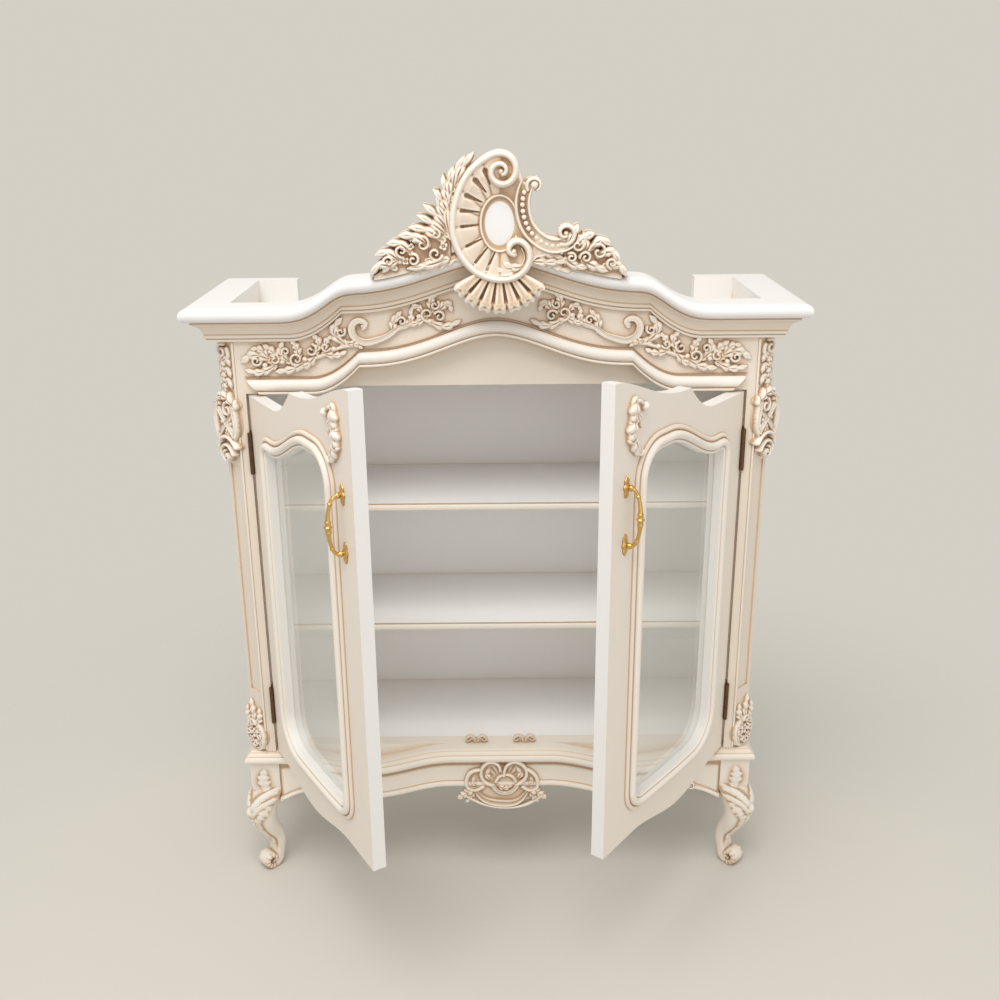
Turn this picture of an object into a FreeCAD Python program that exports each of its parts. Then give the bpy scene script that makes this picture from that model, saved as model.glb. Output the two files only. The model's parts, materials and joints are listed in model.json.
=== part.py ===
"""Two-door display cabinet in the Louis XV manner: carved crest, arched frieze, glazed doors, cabriole legs.

Millimetres, +Z up, front towards -Y.  Pieces are drawn in the cabinet's own frame, with Y counted from the
front plane of the corner posts and Z from the floor, and are then shifted so that the origin lies under the
middle of the whole object with its doors open.
"""
import FreeCAD, Part
import math
import os
from types import SimpleNamespace

Vec = FreeCAD.Vector
UP = Vec(0, 0, 1)
DEPTH = Vec(0, 1, 0)

# Driving dimensions
SIZES = {
    # carcass
    "carcass_width": 1000.0,
    "carcass_depth": 318.0,
    "post_width": 51.5,
    "post_depth": 52.0,
    "post_cant": 34.0,
    "post_recess": 3.0,
    "post_panel_bottom": 415.0,
    "post_panel_top": 885.0,
    "post_panel_margin": 9.0,
    "rear_post_depth": 40.0,
    "side_thickness": 16.0,
    "back_thickness": 8.0,
    "back_inset": 8.0,
    "board_thickness": 18.0,
    "board_drop": 4.0,
    # base
    "base_top": 286.0,
    "base_height": 27.0,
    "base_nose": 11.0,
    "base_round": 9.0,
    "base_dip": 28.0,
    "dip_centre": 268.0,
    "dip_half_length": 170.0,
    "apron_height": 55.0,
    "apron_thickness": 20.0,
    "leg_block": 58.0,
    "leg_block_out": 3.0,
    "leg_block_height": 85.0,
    "bracket_length": 73.0,
    "bracket_drop": 34.0,
    "knee_height": 146.0,
    "knee_out": 30.0,
    "knee_radius": 25.0,
    "ankle_height": 68.0,
    "ankle_in": 10.0,
    "ankle_radius": 15.0,
    "whorl_radius": 20.0,
    "whorl_width": 32.0,
    "whorl_out": 16.0,
    "foot_flat": 1.5,
    # arched crown shared by cornice, frieze and doors
    "crown_start": 360.0,
    "crown_cusp": 269.0,
    "crown_step": 48.0,
    "crown_rise": 102.0,
    "arch_bottom": 1023.0,
    "arch_scale": 0.9,
    "arch_height": 31.0,
    "arch_depth": 14.0,
    "header_bottom": 1030.0,
    "header_thickness": 20.0,
    "cornice_bottom": 1118.0,
    "cornice_height": 63.0,
    "cornice_overhang": 45.0,
    "cornice_inset": 30.0,
    "nose_height": 24.0,
    "rear_return_length": 76.0,
    "rear_return_depth": 30.0,
    # shelves
    "upper_shelf_top": 792.0,
    "lower_shelf_top": 541.0,
    "shelf_thickness": 14.0,
    "shelf_front": 54.0,
    "shelf_clearance": 0.3,
    "peg_radius": 3.0,
    "peg_length": 18.0,
    "peg_depth": 9.0,
    "peg_clearance": 0.05,
    "peg_inset": 45.0,
    # doors
    "door_thickness": 24.0,
    "door_stop_gap": 0.5,
    "hinge_gap": 3.0,
    "meeting_gap": 3.0,
    "top_gap": 3.0,
    "bottom_gap": 4.0,
    "left_open": 59.0,
    "right_open": 53.0,
    "hinge_stile_width": 75.0,
    "meeting_stile_width": 92.0,
    "light_floor_low": 351.0,
    "light_floor_lift": 9.0,
    "light_floor_centre": 165.0,
    "light_top_low": 938.0,
    "light_top_step": 56.0,
    "light_step_from": 110.0,
    "light_step_to": 275.0,
    "light_round_small": 12.0,
    "light_round_large": 45.0,
    "light_round_foot": 26.0,
    "light_round_sweep": 62.0,
    "glass_thickness": 4.0,
    "glass_clearance": 0.3,
    "glass_setback": 12.0,
    "bolection_outer": 27.0,
    "bolection_inner": 6.0,
    "bolection_rise": 11.0,
    # hinges and handles
    "hinge_length": 78.0,
    "upper_hinge": 912.0,
    "lower_hinge": 393.0,
    "knuckle_radius": 4.0,
    "pin_radius": 2.0,
    "pin_clearance": 0.05,
    "knuckle_gap": 0.5,
    "leaf_thickness": 1.2,
    "leaf_width": 20.0,
    "handle_height": 904.0,
    "handle_centres": 96.0,
    "handle_inset": 40.0,
    "handle_standoff": 31.0,
    "handle_radius": 4.2,
    "handle_leaf_length": 32.0,
    "handle_leaf_width": 17.0,
    "handle_leaf_thickness": 3.0,
    # carving
    "relief": 8.0,
    "swag_half_width": 19.0,
    "crest_thickness": 30.0,
    "scroll_half_width": 7.0,
    "scroll_rise": 16.0,
    "cabochon_width": 46.0,
    "cabochon_height": 78.0,
    "cabochon_rise": 15.0,
    "fan_radius": 90.0,
    "fan_valley": 81.0,
    "fan_from": 203.0,
    "fan_to": 337.0,
    "fan_lobes": 8,
    "fan_rise": 14.0,
    "seat_gap": 0.2,
    "crest_lift": 0.05,
    "apron_shell_width": 150.0,
    "apron_shell_height": 102.0,
}

doc = FreeCAD.newDocument("display_cabinet")
sheet = doc.addObject("Spreadsheet::Sheet", "sheet")
for row, (alias, number) in enumerate(SIZES.items(), start=1):
    sheet.set(f"A{row}", alias)
    sheet.set(f"B{row}", str(number))
    sheet.setAlias(f"B{row}", alias)
doc.recompute()
size = SimpleNamespace(**{alias: float(sheet.get(alias)) for alias in SIZES})

# Derived places, in the cabinet's own frame
HALF = size.carcass_width / 2
OPENING = HALF - size.post_width
PIN_X = OPENING - size.hinge_gap / 2
PIN_Y = -size.knuckle_radius
DOOR_REACH = PIN_X - size.meeting_gap / 2
STOP_Y = size.door_thickness + size.door_stop_gap
CORNICE_TOP = size.cornice_bottom + size.cornice_height
INNER = HALF - size.side_thickness
BACK_Y = size.carcass_depth - size.back_inset - size.back_thickness
BASE_BOTTOM = size.base_top - size.base_height
WIDEST_OPEN = math.radians(max(size.left_open, size.right_open))
FRONT_REACH = DOOR_REACH * math.sin(WIDEST_OPEN) - PIN_Y - size.knuckle_radius * math.cos(WIDEST_OPEN)
FRONT_Y = (FRONT_REACH - size.carcass_depth) / 2

SIDES = {"left": -1, "right": 1}
nodes = []


# Curves that several pieces share
def smooth(share):
    """Smoothstep from 0 to 1."""
    share = min(max(share, 0.0), 1.0)
    return share * share * (3 - 2 * share)


def crown(x):
    """Rise of the arched crown above its ends: a hollow curve up to a cusp, then a soft wave to the middle."""
    u = abs(x)
    if u >= size.crown_start:
        return 0.0
    if u >= size.crown_cusp:
        share = (size.crown_start - u) / (size.crown_start - size.crown_cusp)
        return size.crown_step * share ** 1.8
    share = ((size.crown_cusp - u) / size.crown_cusp) ** 1.3
    return size.crown_step + (size.crown_rise - size.crown_step) * smooth(share)


def arch(x):
    """The same crown drawn in towards the middle, for the arch over the doors."""
    return crown(x / size.arch_scale)


def dip(x):
    """Fall of the base line: one shallow swag under each door."""
    share = (abs(x) - size.dip_centre) / size.dip_half_length
    if abs(share) >= 1:
        return 0.0
    return -size.base_dip * math.cos(math.pi / 2 * share) ** 2


def crown_breaks(scale=1.0):
    """Places where the crown's curve changes from one stretch to the next."""
    marks = [size.crown_start * scale, size.crown_cusp * scale]
    return sorted([-m for m in marks] + [0.0] + marks)


def dip_breaks():
    marks = [size.dip_centre + size.dip_half_length, size.dip_centre, size.dip_centre - size.dip_half_length]
    return sorted([-m for m in marks] + marks)


def spline(points):
    curve = Part.BSplineCurve()
    curve.interpolate(points)
    return curve


def stretch(height, breaks, x_from, x_to, base, flip=1):
    """Curves of Z = base + height(x) from x_from to x_to in a sketch's plane, one curve for each stretch."""
    low, high = min(x_from, x_to), max(x_from, x_to)
    marks = [low] + [b for b in breaks if low + 1e-6 < b < high - 1e-6] + [high]
    curves = []
    for a, b in zip(marks, marks[1:]):
        places = [a + (b - a) * i / 8 for i in range(9)]
        points = [Vec(flip * x, base + height(x), 0) for x in places]
        if max(p.y for p in points) - min(p.y for p in points) < 1e-6:
            curves.append(Part.LineSegment(points[0], points[-1]))
        else:
            curves.append(spline(points))
    return curves


def ends(curves):
    """First and last point of a run of curves."""
    first = curves[0].value(curves[0].FirstParameter)
    last = curves[-1].value(curves[-1].LastParameter)
    return first, last


def loop(lower, upper):
    """Closed outline between a lower and an upper run of curves, with straight ends."""
    low_a, low_b = ends(lower)
    up_a, up_b = ends(upper)
    return lower + upper + [Part.LineSegment(low_a, up_a), Part.LineSegment(low_b, up_b)]


def polygon(points):
    closed = points[1:] + points[:1]
    return [Part.LineSegment(Vec(*a, 0), Vec(*b, 0)) for a, b in zip(points, closed)]


# Ways of making a piece
def shift(piece, y="0", x="0", z="0"):
    """Bind a piece's place: cabinet frame to the part's own frame."""
    piece.setExpression("Placement.Base.x", x)
    piece.setExpression("Placement.Base.y", f"{FRONT_Y} + {y}")
    piece.setExpression("Placement.Base.z", z)


def hang(piece, side):
    """Put a door's piece on its hinge pin, turned to the opening of the photographed pose."""
    word = "right" if side > 0 else "left"
    turn = FreeCAD.Rotation(Vec(0, 0, side), getattr(size, f"{word}_open"))
    piece.Placement = FreeCAD.Placement(Vec(side * PIN_X, FRONT_Y + PIN_Y, 0), turn)
    piece.setExpression("Placement.Rotation.Angle", f"sheet.{word}_open")


def keep(piece, label):
    piece.Label = label
    nodes.append(piece)
    return piece


def block(label, x, y, z, length, depth, height):
    """Rectangular block in its place; every argument is an expression of the sheet."""
    piece = doc.addObject("Part::Box", label)
    piece.setExpression("Length", length)
    piece.setExpression("Width", depth)
    piece.setExpression("Height", height)
    shift(piece, y, x, z)
    return piece


def board(label, *box):
    """Plain board that is a piece by itself."""
    return keep(block(label, *box), label)


def board_pair(label, lefts, *rest):
    """Two equal boards, left and right of the middle, as one group of separate solids."""
    pair = doc.addObject("Part::Compound", label)
    pair.Links = [block(f"{label}_{word}", left, *rest) for word, left in zip(SIDES, lefts)]
    return keep(pair, label)


def plane_of(body, role):
    return next(feature for feature in body.Origin.OriginFeatures if feature.Role == role)


def sketch_on(body, role, name, curves, offset=0.0):
    sketch = body.newObject("Sketcher::SketchObject", name)
    sketch.AttachmentSupport = [(plane_of(body, role), "")]
    sketch.MapMode = "FlatFace"
    sketch.AttachmentOffset = FreeCAD.Placement(Vec(0, 0, offset), FreeCAD.Rotation())
    for curve in curves:
        sketch.addGeometry(curve)
    return sketch


def pad(body, sketch, length, backwards):
    feature = body.newObject("PartDesign::Pad", "Pad")
    feature.Profile = sketch
    feature.setExpression("Length", length)
    feature.Reversed = backwards
    doc.recompute()
    return feature


def pocket(body, sketch, length, backwards):
    before = body.Shape.Volume
    feature = body.newObject("PartDesign::Pocket", "Pocket")
    feature.Profile = sketch
    feature.setExpression("Length", length)
    feature.Reversed = backwards
    doc.recompute()
    if body.Shape.Volume > before - 1:
        raise RuntimeError(f"{body.Label}: the pocket cut nothing")
    return feature


def plate(label, curves, thickness, y="0"):
    """Flat shaped piece: an elevation outline padded towards the back."""
    body = doc.addObject("PartDesign::Body", label)
    sketch = sketch_on(body, "XZ_Plane", "outline", curves)
    pad(body, sketch, thickness, True)
    shift(body, y)
    return keep(body, label)


def moulding(label, path, profile, start):
    """Run of moulding: an upright profile carried along an elevation path without turning."""
    body = doc.addObject("PartDesign::Body", label)
    spine = sketch_on(body, "XZ_Plane", "path", path)
    section = sketch_on(body, "YZ_Plane", "section", profile, start)
    doc.recompute()
    pipe = body.newObject("PartDesign::AdditivePipe", "Pipe")
    pipe.Profile = section
    pipe.Spine = (spine, [f"Edge{i + 1}" for i in range(len(path))])
    pipe.Mode = "Fixed"
    pipe.Transition = "Right corner"
    doc.recompute()
    shift(body)
    return keep(body, label)


def solid(label, shape, side=None):
    """Carved or bent piece made straight from its shape."""
    piece = doc.addObject("Part::Feature", label)
    piece.Shape = Part.makeCompound(shape.Solids)
    if side is None:
        piece.Placement = FreeCAD.Placement(Vec(0, FRONT_Y, 0), FreeCAD.Rotation())
    else:
        hang(piece, side)
    return keep(piece, label)


# Carcass
def carcass_boards():
    inner = "(sheet.carcass_width / 2 - sheet.side_thickness)"
    opening = "(sheet.carcass_width / 2 - sheet.post_width)"
    rise = "(sheet.cornice_bottom - sheet.base_top)"
    back = "(sheet.carcass_depth - sheet.back_inset - sheet.back_thickness)"
    floor = "(sheet.base_top - sheet.board_drop - sheet.board_thickness)"
    stop = "(sheet.door_thickness + sheet.door_stop_gap)"
    cornice_inner = "(sheet.carcass_width / 2 - sheet.cornice_inset)"

    board("bottom_board", f"-{inner}", "sheet.post_depth", floor,
          f"2 * {inner}", f"{back} - sheet.post_depth", "sheet.board_thickness")
    board("back_panel", f"-{inner}", back, floor,
          f"2 * {inner}", "sheet.back_thickness", f"sheet.cornice_bottom - {floor}")
    board("top_board", f"-{cornice_inner}", "sheet.cornice_inset", "sheet.cornice_bottom",
          f"2 * {cornice_inner}", "sheet.carcass_depth - sheet.cornice_inset", "sheet.board_thickness")
    board("header_rail", f"-{opening}", stop, "sheet.header_bottom",
          f"2 * {opening}", "sheet.header_thickness", "sheet.cornice_bottom - sheet.header_bottom")
    leg_side = "(sheet.carcass_width / 2 - sheet.post_width - sheet.leg_block_out)"
    board("door_stop_rail", f"-{leg_side}", stop, "sheet.base_top - sheet.base_height - sheet.base_dip",
          f"2 * {leg_side}", f"sheet.post_depth - {stop}", "sheet.base_height + sheet.base_dip")
    board_pair("rear_posts", ("-sheet.carcass_width / 2", inner), "sheet.carcass_depth - sheet.rear_post_depth",
               "sheet.base_top", "sheet.side_thickness", "sheet.rear_post_depth", rise)
    for word, sign in SIDES.items():
        side_panel(f"{word}_side_panel", sign)
        front_post(f"{word}_front_post", sign)


def peg_places():
    """Depths and heights of the shelf pegs, the same on both sides."""
    front = size.shelf_front + size.peg_inset
    back = BACK_Y - size.peg_inset
    tops = (size.upper_shelf_top, size.lower_shelf_top)
    return [(y, top - size.shelf_thickness - size.peg_radius) for top in tops for y in (front, back)]


def side_panel(label, sign):
    """Solid side board with blind holes for the shelf pegs."""
    body = doc.addObject("PartDesign::Body", label)
    rear = size.carcass_depth - size.rear_post_depth
    corners = [(size.post_depth, size.base_top), (rear, size.base_top),
               (rear, size.cornice_bottom), (size.post_depth, size.cornice_bottom)]
    pad(body, sketch_on(body, "YZ_Plane", "outline", polygon(corners), sign * INNER),
        "sheet.side_thickness", sign < 0)
    radius = size.peg_radius + size.peg_clearance
    rings = [Part.Circle(Vec(y, z, 0), UP, radius) for y, z in peg_places()]
    pocket(body, sketch_on(body, "YZ_Plane", "peg_holes", rings, sign * INNER),
           "sheet.peg_depth", sign > 0)
    shift(body)
    keep(body, label)


def front_post(label, sign):
    """Corner post with a canted face and a sunken panel in it."""
    body = doc.addObject("PartDesign::Body", label)
    cant = size.post_cant
    corners = [(OPENING, 0), (HALF - cant, 0), (HALF, cant), (HALF, size.post_depth), (OPENING, size.post_depth)]
    outline = polygon([(sign * x, y) for x, y in corners])
    pad(body, sketch_on(body, "XY_Plane", "outline", outline, size.base_top),
        "sheet.cornice_bottom - sheet.base_top", False)
    margin = size.post_panel_margin / math.sqrt(2)
    sunk = size.post_recess / math.sqrt(2)
    proud = [(HALF - cant + margin, margin), (HALF - margin, cant - margin)]
    deep = [(x - sunk, y + sunk) for x, y in reversed(proud)]
    lift = [(x + sunk, y - sunk) for x, y in proud]
    groove = polygon([(sign * x, y) for x, y in lift + deep])
    pocket(body, sketch_on(body, "XY_Plane", "sunken_panel", groove, size.post_panel_top),
           "sheet.post_panel_top - sheet.post_panel_bottom", False)
    shift(body)
    keep(body, label)


def frieze():
    """Arched board over the doors, the cornice lying on its upper edge, and the moulding planted on its lower edge."""
    lower = stretch(arch, crown_breaks(size.arch_scale), -OPENING, OPENING, size.arch_bottom)
    upper = stretch(crown, crown_breaks(), -OPENING, OPENING, size.cornice_bottom)
    plate("frieze_board", loop(lower, upper), "sheet.door_thickness + sheet.door_stop_gap")
    depth, height = size.arch_depth, size.arch_height
    bottom = size.arch_bottom
    profile = [
        Part.LineSegment(Vec(0, bottom, 0), Vec(0, bottom + height, 0)),
        Part.LineSegment(Vec(0, bottom + height, 0), Vec(-depth * 0.35, bottom + height, 0)),
        Part.LineSegment(Vec(-depth * 0.35, bottom + height, 0), Vec(-depth * 0.45, bottom + height * 0.8, 0)),
        Part.Arc(Vec(-depth * 0.45, bottom + height * 0.8, 0), Vec(-depth, bottom + height * 0.45, 0),
                 Vec(-depth * 0.6, bottom + height * 0.12, 0)),
        Part.LineSegment(Vec(-depth * 0.6, bottom + height * 0.12, 0), Vec(-depth * 0.3, bottom, 0)),
        Part.LineSegment(Vec(-depth * 0.3, bottom, 0), Vec(0, bottom, 0)),
    ]
    moulding("arch_moulding", lower, profile, -OPENING)


def cornice_profile(sign=-1):
    """Section through the cornice: ogee bed mould, groove and a big rounded nose, flat on top.

    The first coordinate runs outwards from the carcass face; sign turns it into the sketch's own direction.
    """
    low = size.cornice_bottom
    top = CORNICE_TOP
    nose = top - size.nose_height
    out = size.cornice_overhang
    half = size.nose_height / 2
    bed = nose - 6

    def at(outward, z):
        return Vec(sign * outward, z, 0)

    return [
        Part.LineSegment(at(-size.cornice_inset, low), at(out * 0.18, low)),
        Part.LineSegment(at(out * 0.18, low), at(out * 0.24, low + 7)),
        Part.Arc(at(out * 0.24, low + 7), at(out * 0.38, low + 16), at(out * 0.62, bed - 5)),
        Part.LineSegment(at(out * 0.62, bed - 5), at(out * 0.74, bed)),
        Part.LineSegment(at(out * 0.74, bed), at(out * 0.74, nose)),
        Part.LineSegment(at(out * 0.74, nose), at(out - half, nose)),
        Part.Arc(at(out - half, nose), at(out, nose + half), at(out - half, top)),
        Part.LineSegment(at(out - half, top), at(-size.cornice_inset, top)),
        Part.LineSegment(at(-size.cornice_inset, top), at(-size.cornice_inset, low)),
    ]


def cornice():
    """Arched front run, straight side runs mitred to it, and two short returns along the back."""
    reach = HALF + size.cornice_overhang
    path = stretch(crown, crown_breaks(), -reach, reach, size.cornice_bottom)
    front = moulding("cornice_front", path, cornice_profile(), -reach)
    inset = size.cornice_inset
    room = 2 * size.cornice_height
    for sign in SIDES.values():
        corners = [(reach, -size.cornice_overhang), (reach + room, -size.cornice_overhang),
                   (reach + room, inset + room), (HALF - inset - room, inset + room), (HALF - inset, inset)]
        mitre = polygon([(sign * x, y) for x, y in corners])
        pocket(front, sketch_on(front, "XY_Plane", "mitre", mitre, CORNICE_TOP + room), "1000", False)
    for word, sign in SIDES.items():
        body = doc.addObject("PartDesign::Body", f"cornice_{word}")
        profile = []
        for curve in cornice_profile(sign):
            moved = curve.copy()
            moved.translate(Vec(sign * HALF, 0, 0))
            profile.append(moved)
        section = sketch_on(body, "XZ_Plane", "section", profile, size.cornice_overhang)
        pad(body, section, "sheet.carcass_depth + sheet.cornice_overhang", True)
        corners = [(reach, -size.cornice_overhang), (HALF - inset, inset),
                   (HALF - inset - room, inset + room), (HALF - inset - room, -room), (reach, -room)]
        mitre = polygon([(sign * x, y) for x, y in corners])
        pocket(body, sketch_on(body, "XY_Plane", "mitre", mitre, CORNICE_TOP + room), "1000", False)
        shift(body)
        keep(body, f"cornice_{word}")
    start = "(sheet.carcass_width / 2 - sheet.cornice_inset)"
    board_pair("cornice_rear_returns", (f"-{start}", f"{start} - sheet.rear_return_length"),
               "sheet.carcass_depth - sheet.rear_return_depth", "sheet.cornice_bottom + sheet.board_thickness",
               "sheet.rear_return_length", "sheet.rear_return_depth",
               "sheet.cornice_height - sheet.board_thickness")


# Base
def base_frame():
    """Rounded plinth moulding with a swag under each door, aprons below it and four legs."""
    reach = HALF + size.base_nose
    low, top, nose = BASE_BOTTOM, size.base_top, -size.base_nose
    r = size.base_round
    bend = r * (1 - math.sqrt(0.5))
    profile = [
        Part.LineSegment(Vec(STOP_Y, low, 0), Vec(nose + r, low, 0)),
        Part.Arc(Vec(nose + r, low, 0), Vec(nose + bend, low + bend, 0), Vec(nose, low + r, 0)),
        Part.LineSegment(Vec(nose, low + r, 0), Vec(nose, top - r, 0)),
        Part.Arc(Vec(nose, top - r, 0), Vec(nose + bend, top - bend, 0), Vec(nose + r, top, 0)),
        Part.LineSegment(Vec(nose + r, top, 0), Vec(STOP_Y, top, 0)),
        Part.LineSegment(Vec(STOP_Y, top, 0), Vec(STOP_Y, low, 0)),
    ]
    front = moulding("base_moulding_front", stretch(dip, dip_breaks(), -reach, reach, low), profile, -reach)
    inner = reach - size.base_nose - STOP_Y
    for sign in SIDES.values():
        corners = [(reach, nose), (reach + 50, nose), (reach + 50, STOP_Y + 1), (inner - 1, STOP_Y + 1)]
        mitre = polygon([(sign * x, y) for x, y in corners])
        pocket(front, sketch_on(front, "XY_Plane", "mitre", mitre, top + 1), "sheet.base_height + 2", False)
    for word, sign in SIDES.items():
        body = doc.addObject("PartDesign::Body", f"base_moulding_{word}")
        corners = [(reach, nose), (reach, size.carcass_depth), (INNER, size.carcass_depth),
                   (INNER, size.post_depth), (OPENING, size.post_depth), (OPENING, STOP_Y), (inner, STOP_Y)]
        outline = polygon([(sign * x, y) for x, y in corners])
        pad(body, sketch_on(body, "XY_Plane", "outline", outline, low), "sheet.base_height", False)
        outer = [f"Edge{i + 1}" for i, edge in enumerate(body.Shape.Edges)
                 if abs(abs(edge.CenterOfMass.x) - reach) < 1e-6 and edge.Length > size.base_height + 1]
        strip = body.Tip
        fillet = body.newObject("PartDesign::Fillet", "Nose")
        fillet.Base = (strip, outer)
        fillet.setExpression("Radius", "sheet.base_round")
        doc.recompute()
        shift(body)
        keep(body, f"base_moulding_{word}")
    block = OPENING - size.leg_block_out
    upper = stretch(dip, dip_breaks(), -block, block, low)
    bracket_from = block - size.bracket_length

    def apron_edge(x):
        """Lower edge of the apron: it follows the base line, then falls away in a bracket beside each leg."""
        share = max(abs(x) - bracket_from, 0.0) / size.bracket_length
        return dip(x) - size.bracket_drop * share ** 1.3

    breaks = sorted(dip_breaks() + [-bracket_from, bracket_from])
    lower = stretch(apron_edge, breaks, -block, block, low - size.apron_height)
    plate("front_apron", loop(lower, upper), "sheet.apron_thickness")
    block_end = "(sheet.carcass_width / 2 - sheet.post_width - sheet.leg_block_out)"
    apron_low = "sheet.base_top - sheet.base_height - sheet.apron_height"
    board("rear_apron", f"-{block_end}", "sheet.carcass_depth - sheet.apron_thickness", apron_low,
          f"2 * {block_end}", "sheet.apron_thickness", "sheet.apron_height")
    outer = "sheet.carcass_width / 2"
    board_pair("side_aprons", (f"-{outer}", f"{outer} - sheet.apron_thickness"), "sheet.leg_block", apron_low,
               "sheet.apron_thickness", "sheet.carcass_depth - 2 * sheet.leg_block", "sheet.apron_height")
    for word, sign in SIDES.items():
        cabriole(f"{word}_front_leg", sign, True)
        cabriole(f"{word}_rear_leg", sign, False)


def ring(centre, radius):
    return Part.Wire(Part.makeCircle(radius, centre, UP))


def cabriole(label, sign, front):
    """Scroll leg: square block, outward knee, drawn-in ankle and a whorl foot that curls outwards."""
    block = size.leg_block
    x = OPENING - size.leg_block_out + block / 2
    y = block / 2 if front else size.carcass_depth - block / 2
    out = Vec(sign, -1, 0) if front else Vec(sign, 0, 0)
    out.normalize()
    centre = Vec(sign * x, y, 0)
    block_low = BASE_BOTTOM - size.leg_block_height
    stand = size.whorl_radius - size.foot_flat

    def at(z, outward):
        return centre + out * outward + UP * z

    head = Part.makeBox(block, block, size.leg_block_height, centre + Vec(-block / 2, -block / 2, block_low))
    rings = [
        ring(at(block_low + 12, 0), block * 0.46),
        ring(at(block_low - 6, size.knee_out * 0.55), size.knee_radius * 1.04),
        ring(at(size.knee_height, size.knee_out), size.knee_radius),
        ring(at((size.knee_height + size.ankle_height) / 2, size.knee_out * 0.45), size.ankle_radius * 1.3),
        ring(at(size.ankle_height, -size.ankle_in), size.ankle_radius),
        ring(at(stand, -size.ankle_in), size.ankle_radius * 1.05),
    ]
    limb = Part.makeLoft(rings, True, False)
    across = out.cross(UP)
    hub = at(stand, size.whorl_out) - across * (size.whorl_width / 2)
    whorl = Part.makeCylinder(size.whorl_radius, size.whorl_width, hub, across)
    leg = head.fuse([limb, whorl]).removeSplitter()
    below = Part.makeBox(400, 400, 100, centre + Vec(-200, -200, -100))
    solid(label, leg.cut(below))


# Shelves
def shelves():
    inner = "(sheet.carcass_width / 2 - sheet.side_thickness - sheet.shelf_clearance)"
    back = "(sheet.carcass_depth - sheet.back_inset - sheet.back_thickness - sheet.shelf_clearance)"
    for word in ("upper", "lower"):
        board(f"{word}_shelf", f"-{inner}", "sheet.shelf_front", f"sheet.{word}_shelf_top - sheet.shelf_thickness",
              f"2 * {inner}", f"{back} - sheet.shelf_front", "sheet.shelf_thickness")
    pegs = []
    for sign in SIDES.values():
        for y, z in peg_places():
            start = Vec(sign * (INNER + size.peg_depth), y, z)
            pegs.append(Part.makeCylinder(size.peg_radius, size.peg_length, start, Vec(-sign, 0, 0)))
    solid("shelf_pegs", Part.makeCompound(pegs))


# Doors, drawn closed about the hinge pin; s is the distance from the pin along the door
def door_top(x):
    return arch(PIN_X - x)


def door_bottom(x):
    return dip(PIN_X - x)


def door_breaks(breaks):
    return sorted(PIN_X - b for b in breaks)


def door_edge(s_from, s_to, side, top):
    """Shaped upper or lower edge of a door between two distances from the pin."""
    if top:
        marks = door_breaks(crown_breaks(size.arch_scale))
        return stretch(door_top, marks, s_from, s_to, size.arch_bottom - size.top_gap, -side)
    return stretch(door_bottom, door_breaks(dip_breaks()), s_from, s_to, size.base_top + size.bottom_gap, -side)


def light_limits():
    """Distances from the pin of the two upright sides of the glazed light."""
    first = size.hinge_gap / 2 + size.hinge_stile_width
    last = DOOR_REACH - size.meeting_stile_width
    return first, last


def light_top(s):
    share = (s - size.light_step_from) / (size.light_step_to - size.light_step_from)
    return size.light_top_low + size.light_top_step * smooth(share)


def light_floor(s):
    """Sill of the light, rising a little from its lowest place towards the meeting side."""
    share = (s - size.light_floor_centre) / (DOOR_REACH - size.meeting_stile_width - size.light_floor_centre)
    return size.light_floor_low + size.light_floor_lift * share ** 2


def corner(a, middle, b, side):
    """Rounded corner from a to b, bulging towards the sharp corner in the middle."""
    share = 1 - math.sqrt(0.5)
    mid = tuple(m * (1 - 2 * share) + (p + q) * share for p, m, q in zip(a, middle, b))
    points = [Vec(-side * s, z, 0) for s, z in (a, mid, b)]
    return Part.Arc(*points)


def light_head(side, grow=0.0):
    """Upper outline of the light, from its hinge side to its meeting side, grown outwards by an even amount."""
    first, last = light_limits()
    first, last = first - grow, last + grow
    low = size.light_top_low + grow
    high = low + size.light_top_step
    small, large = size.light_round_small + grow, size.light_round_large + grow
    start, stop = size.light_step_from, size.light_step_to
    wave = []
    for i in range(9):
        s = start + (stop - start) * i / 8
        slope = (light_top(s + 0.01) - light_top(s - 0.01)) / 0.02
        tilt = math.atan(slope)
        wave.append(Vec(-side * (s - grow * math.sin(tilt)), light_top(s) + grow * math.cos(tilt), 0))
    return [
        corner((first, low - small), (first, low), (first + small, low), side),
        Part.LineSegment(Vec(-side * (first + small), low, 0), wave[0]),
        spline(wave),
        Part.LineSegment(wave[-1], Vec(-side * (last - large), high, 0)),
        corner((last - large, high), (last, high), (last, high - large), side),
    ]


def light_foot(side, grow=0.0):
    """Lower outline of the light, from its hinge side to its meeting side, grown outwards by an even amount."""
    first, last = light_limits()
    first, last = first - grow, last + grow
    sweep, foot = size.light_round_sweep + grow, size.light_round_foot + grow
    start, stop = first + sweep, last - foot
    places = [start + (stop - start) * i / 12 for i in range(13)]
    low_a, low_b = light_floor(start) - grow, light_floor(stop) - grow
    return [
        corner((first, low_a + sweep), (first, low_a), (start, low_a), side),
        spline([Vec(-side * s, light_floor(s) - grow, 0) for s in places]),
        corner((stop, low_b), (last, low_b), (last, low_b + foot), side),
    ]


def light_wire(side, grow=0.0):
    """The light's outline as a closed wire in the door's own upright plane."""
    head, foot = light_head(side, grow), light_foot(side, grow)
    head_a, head_b = ends(head)
    foot_a, foot_b = ends(foot)
    curves = head + foot + [Part.LineSegment(foot_a, head_a), Part.LineSegment(foot_b, head_b)]
    edges = [curve.toShape() for curve in curves]
    for edge in edges:
        edge.rotate(Vec(0, 0, 0), Vec(1, 0, 0), 90)
    return Part.Wire(Part.__sortEdges__(edges))


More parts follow.
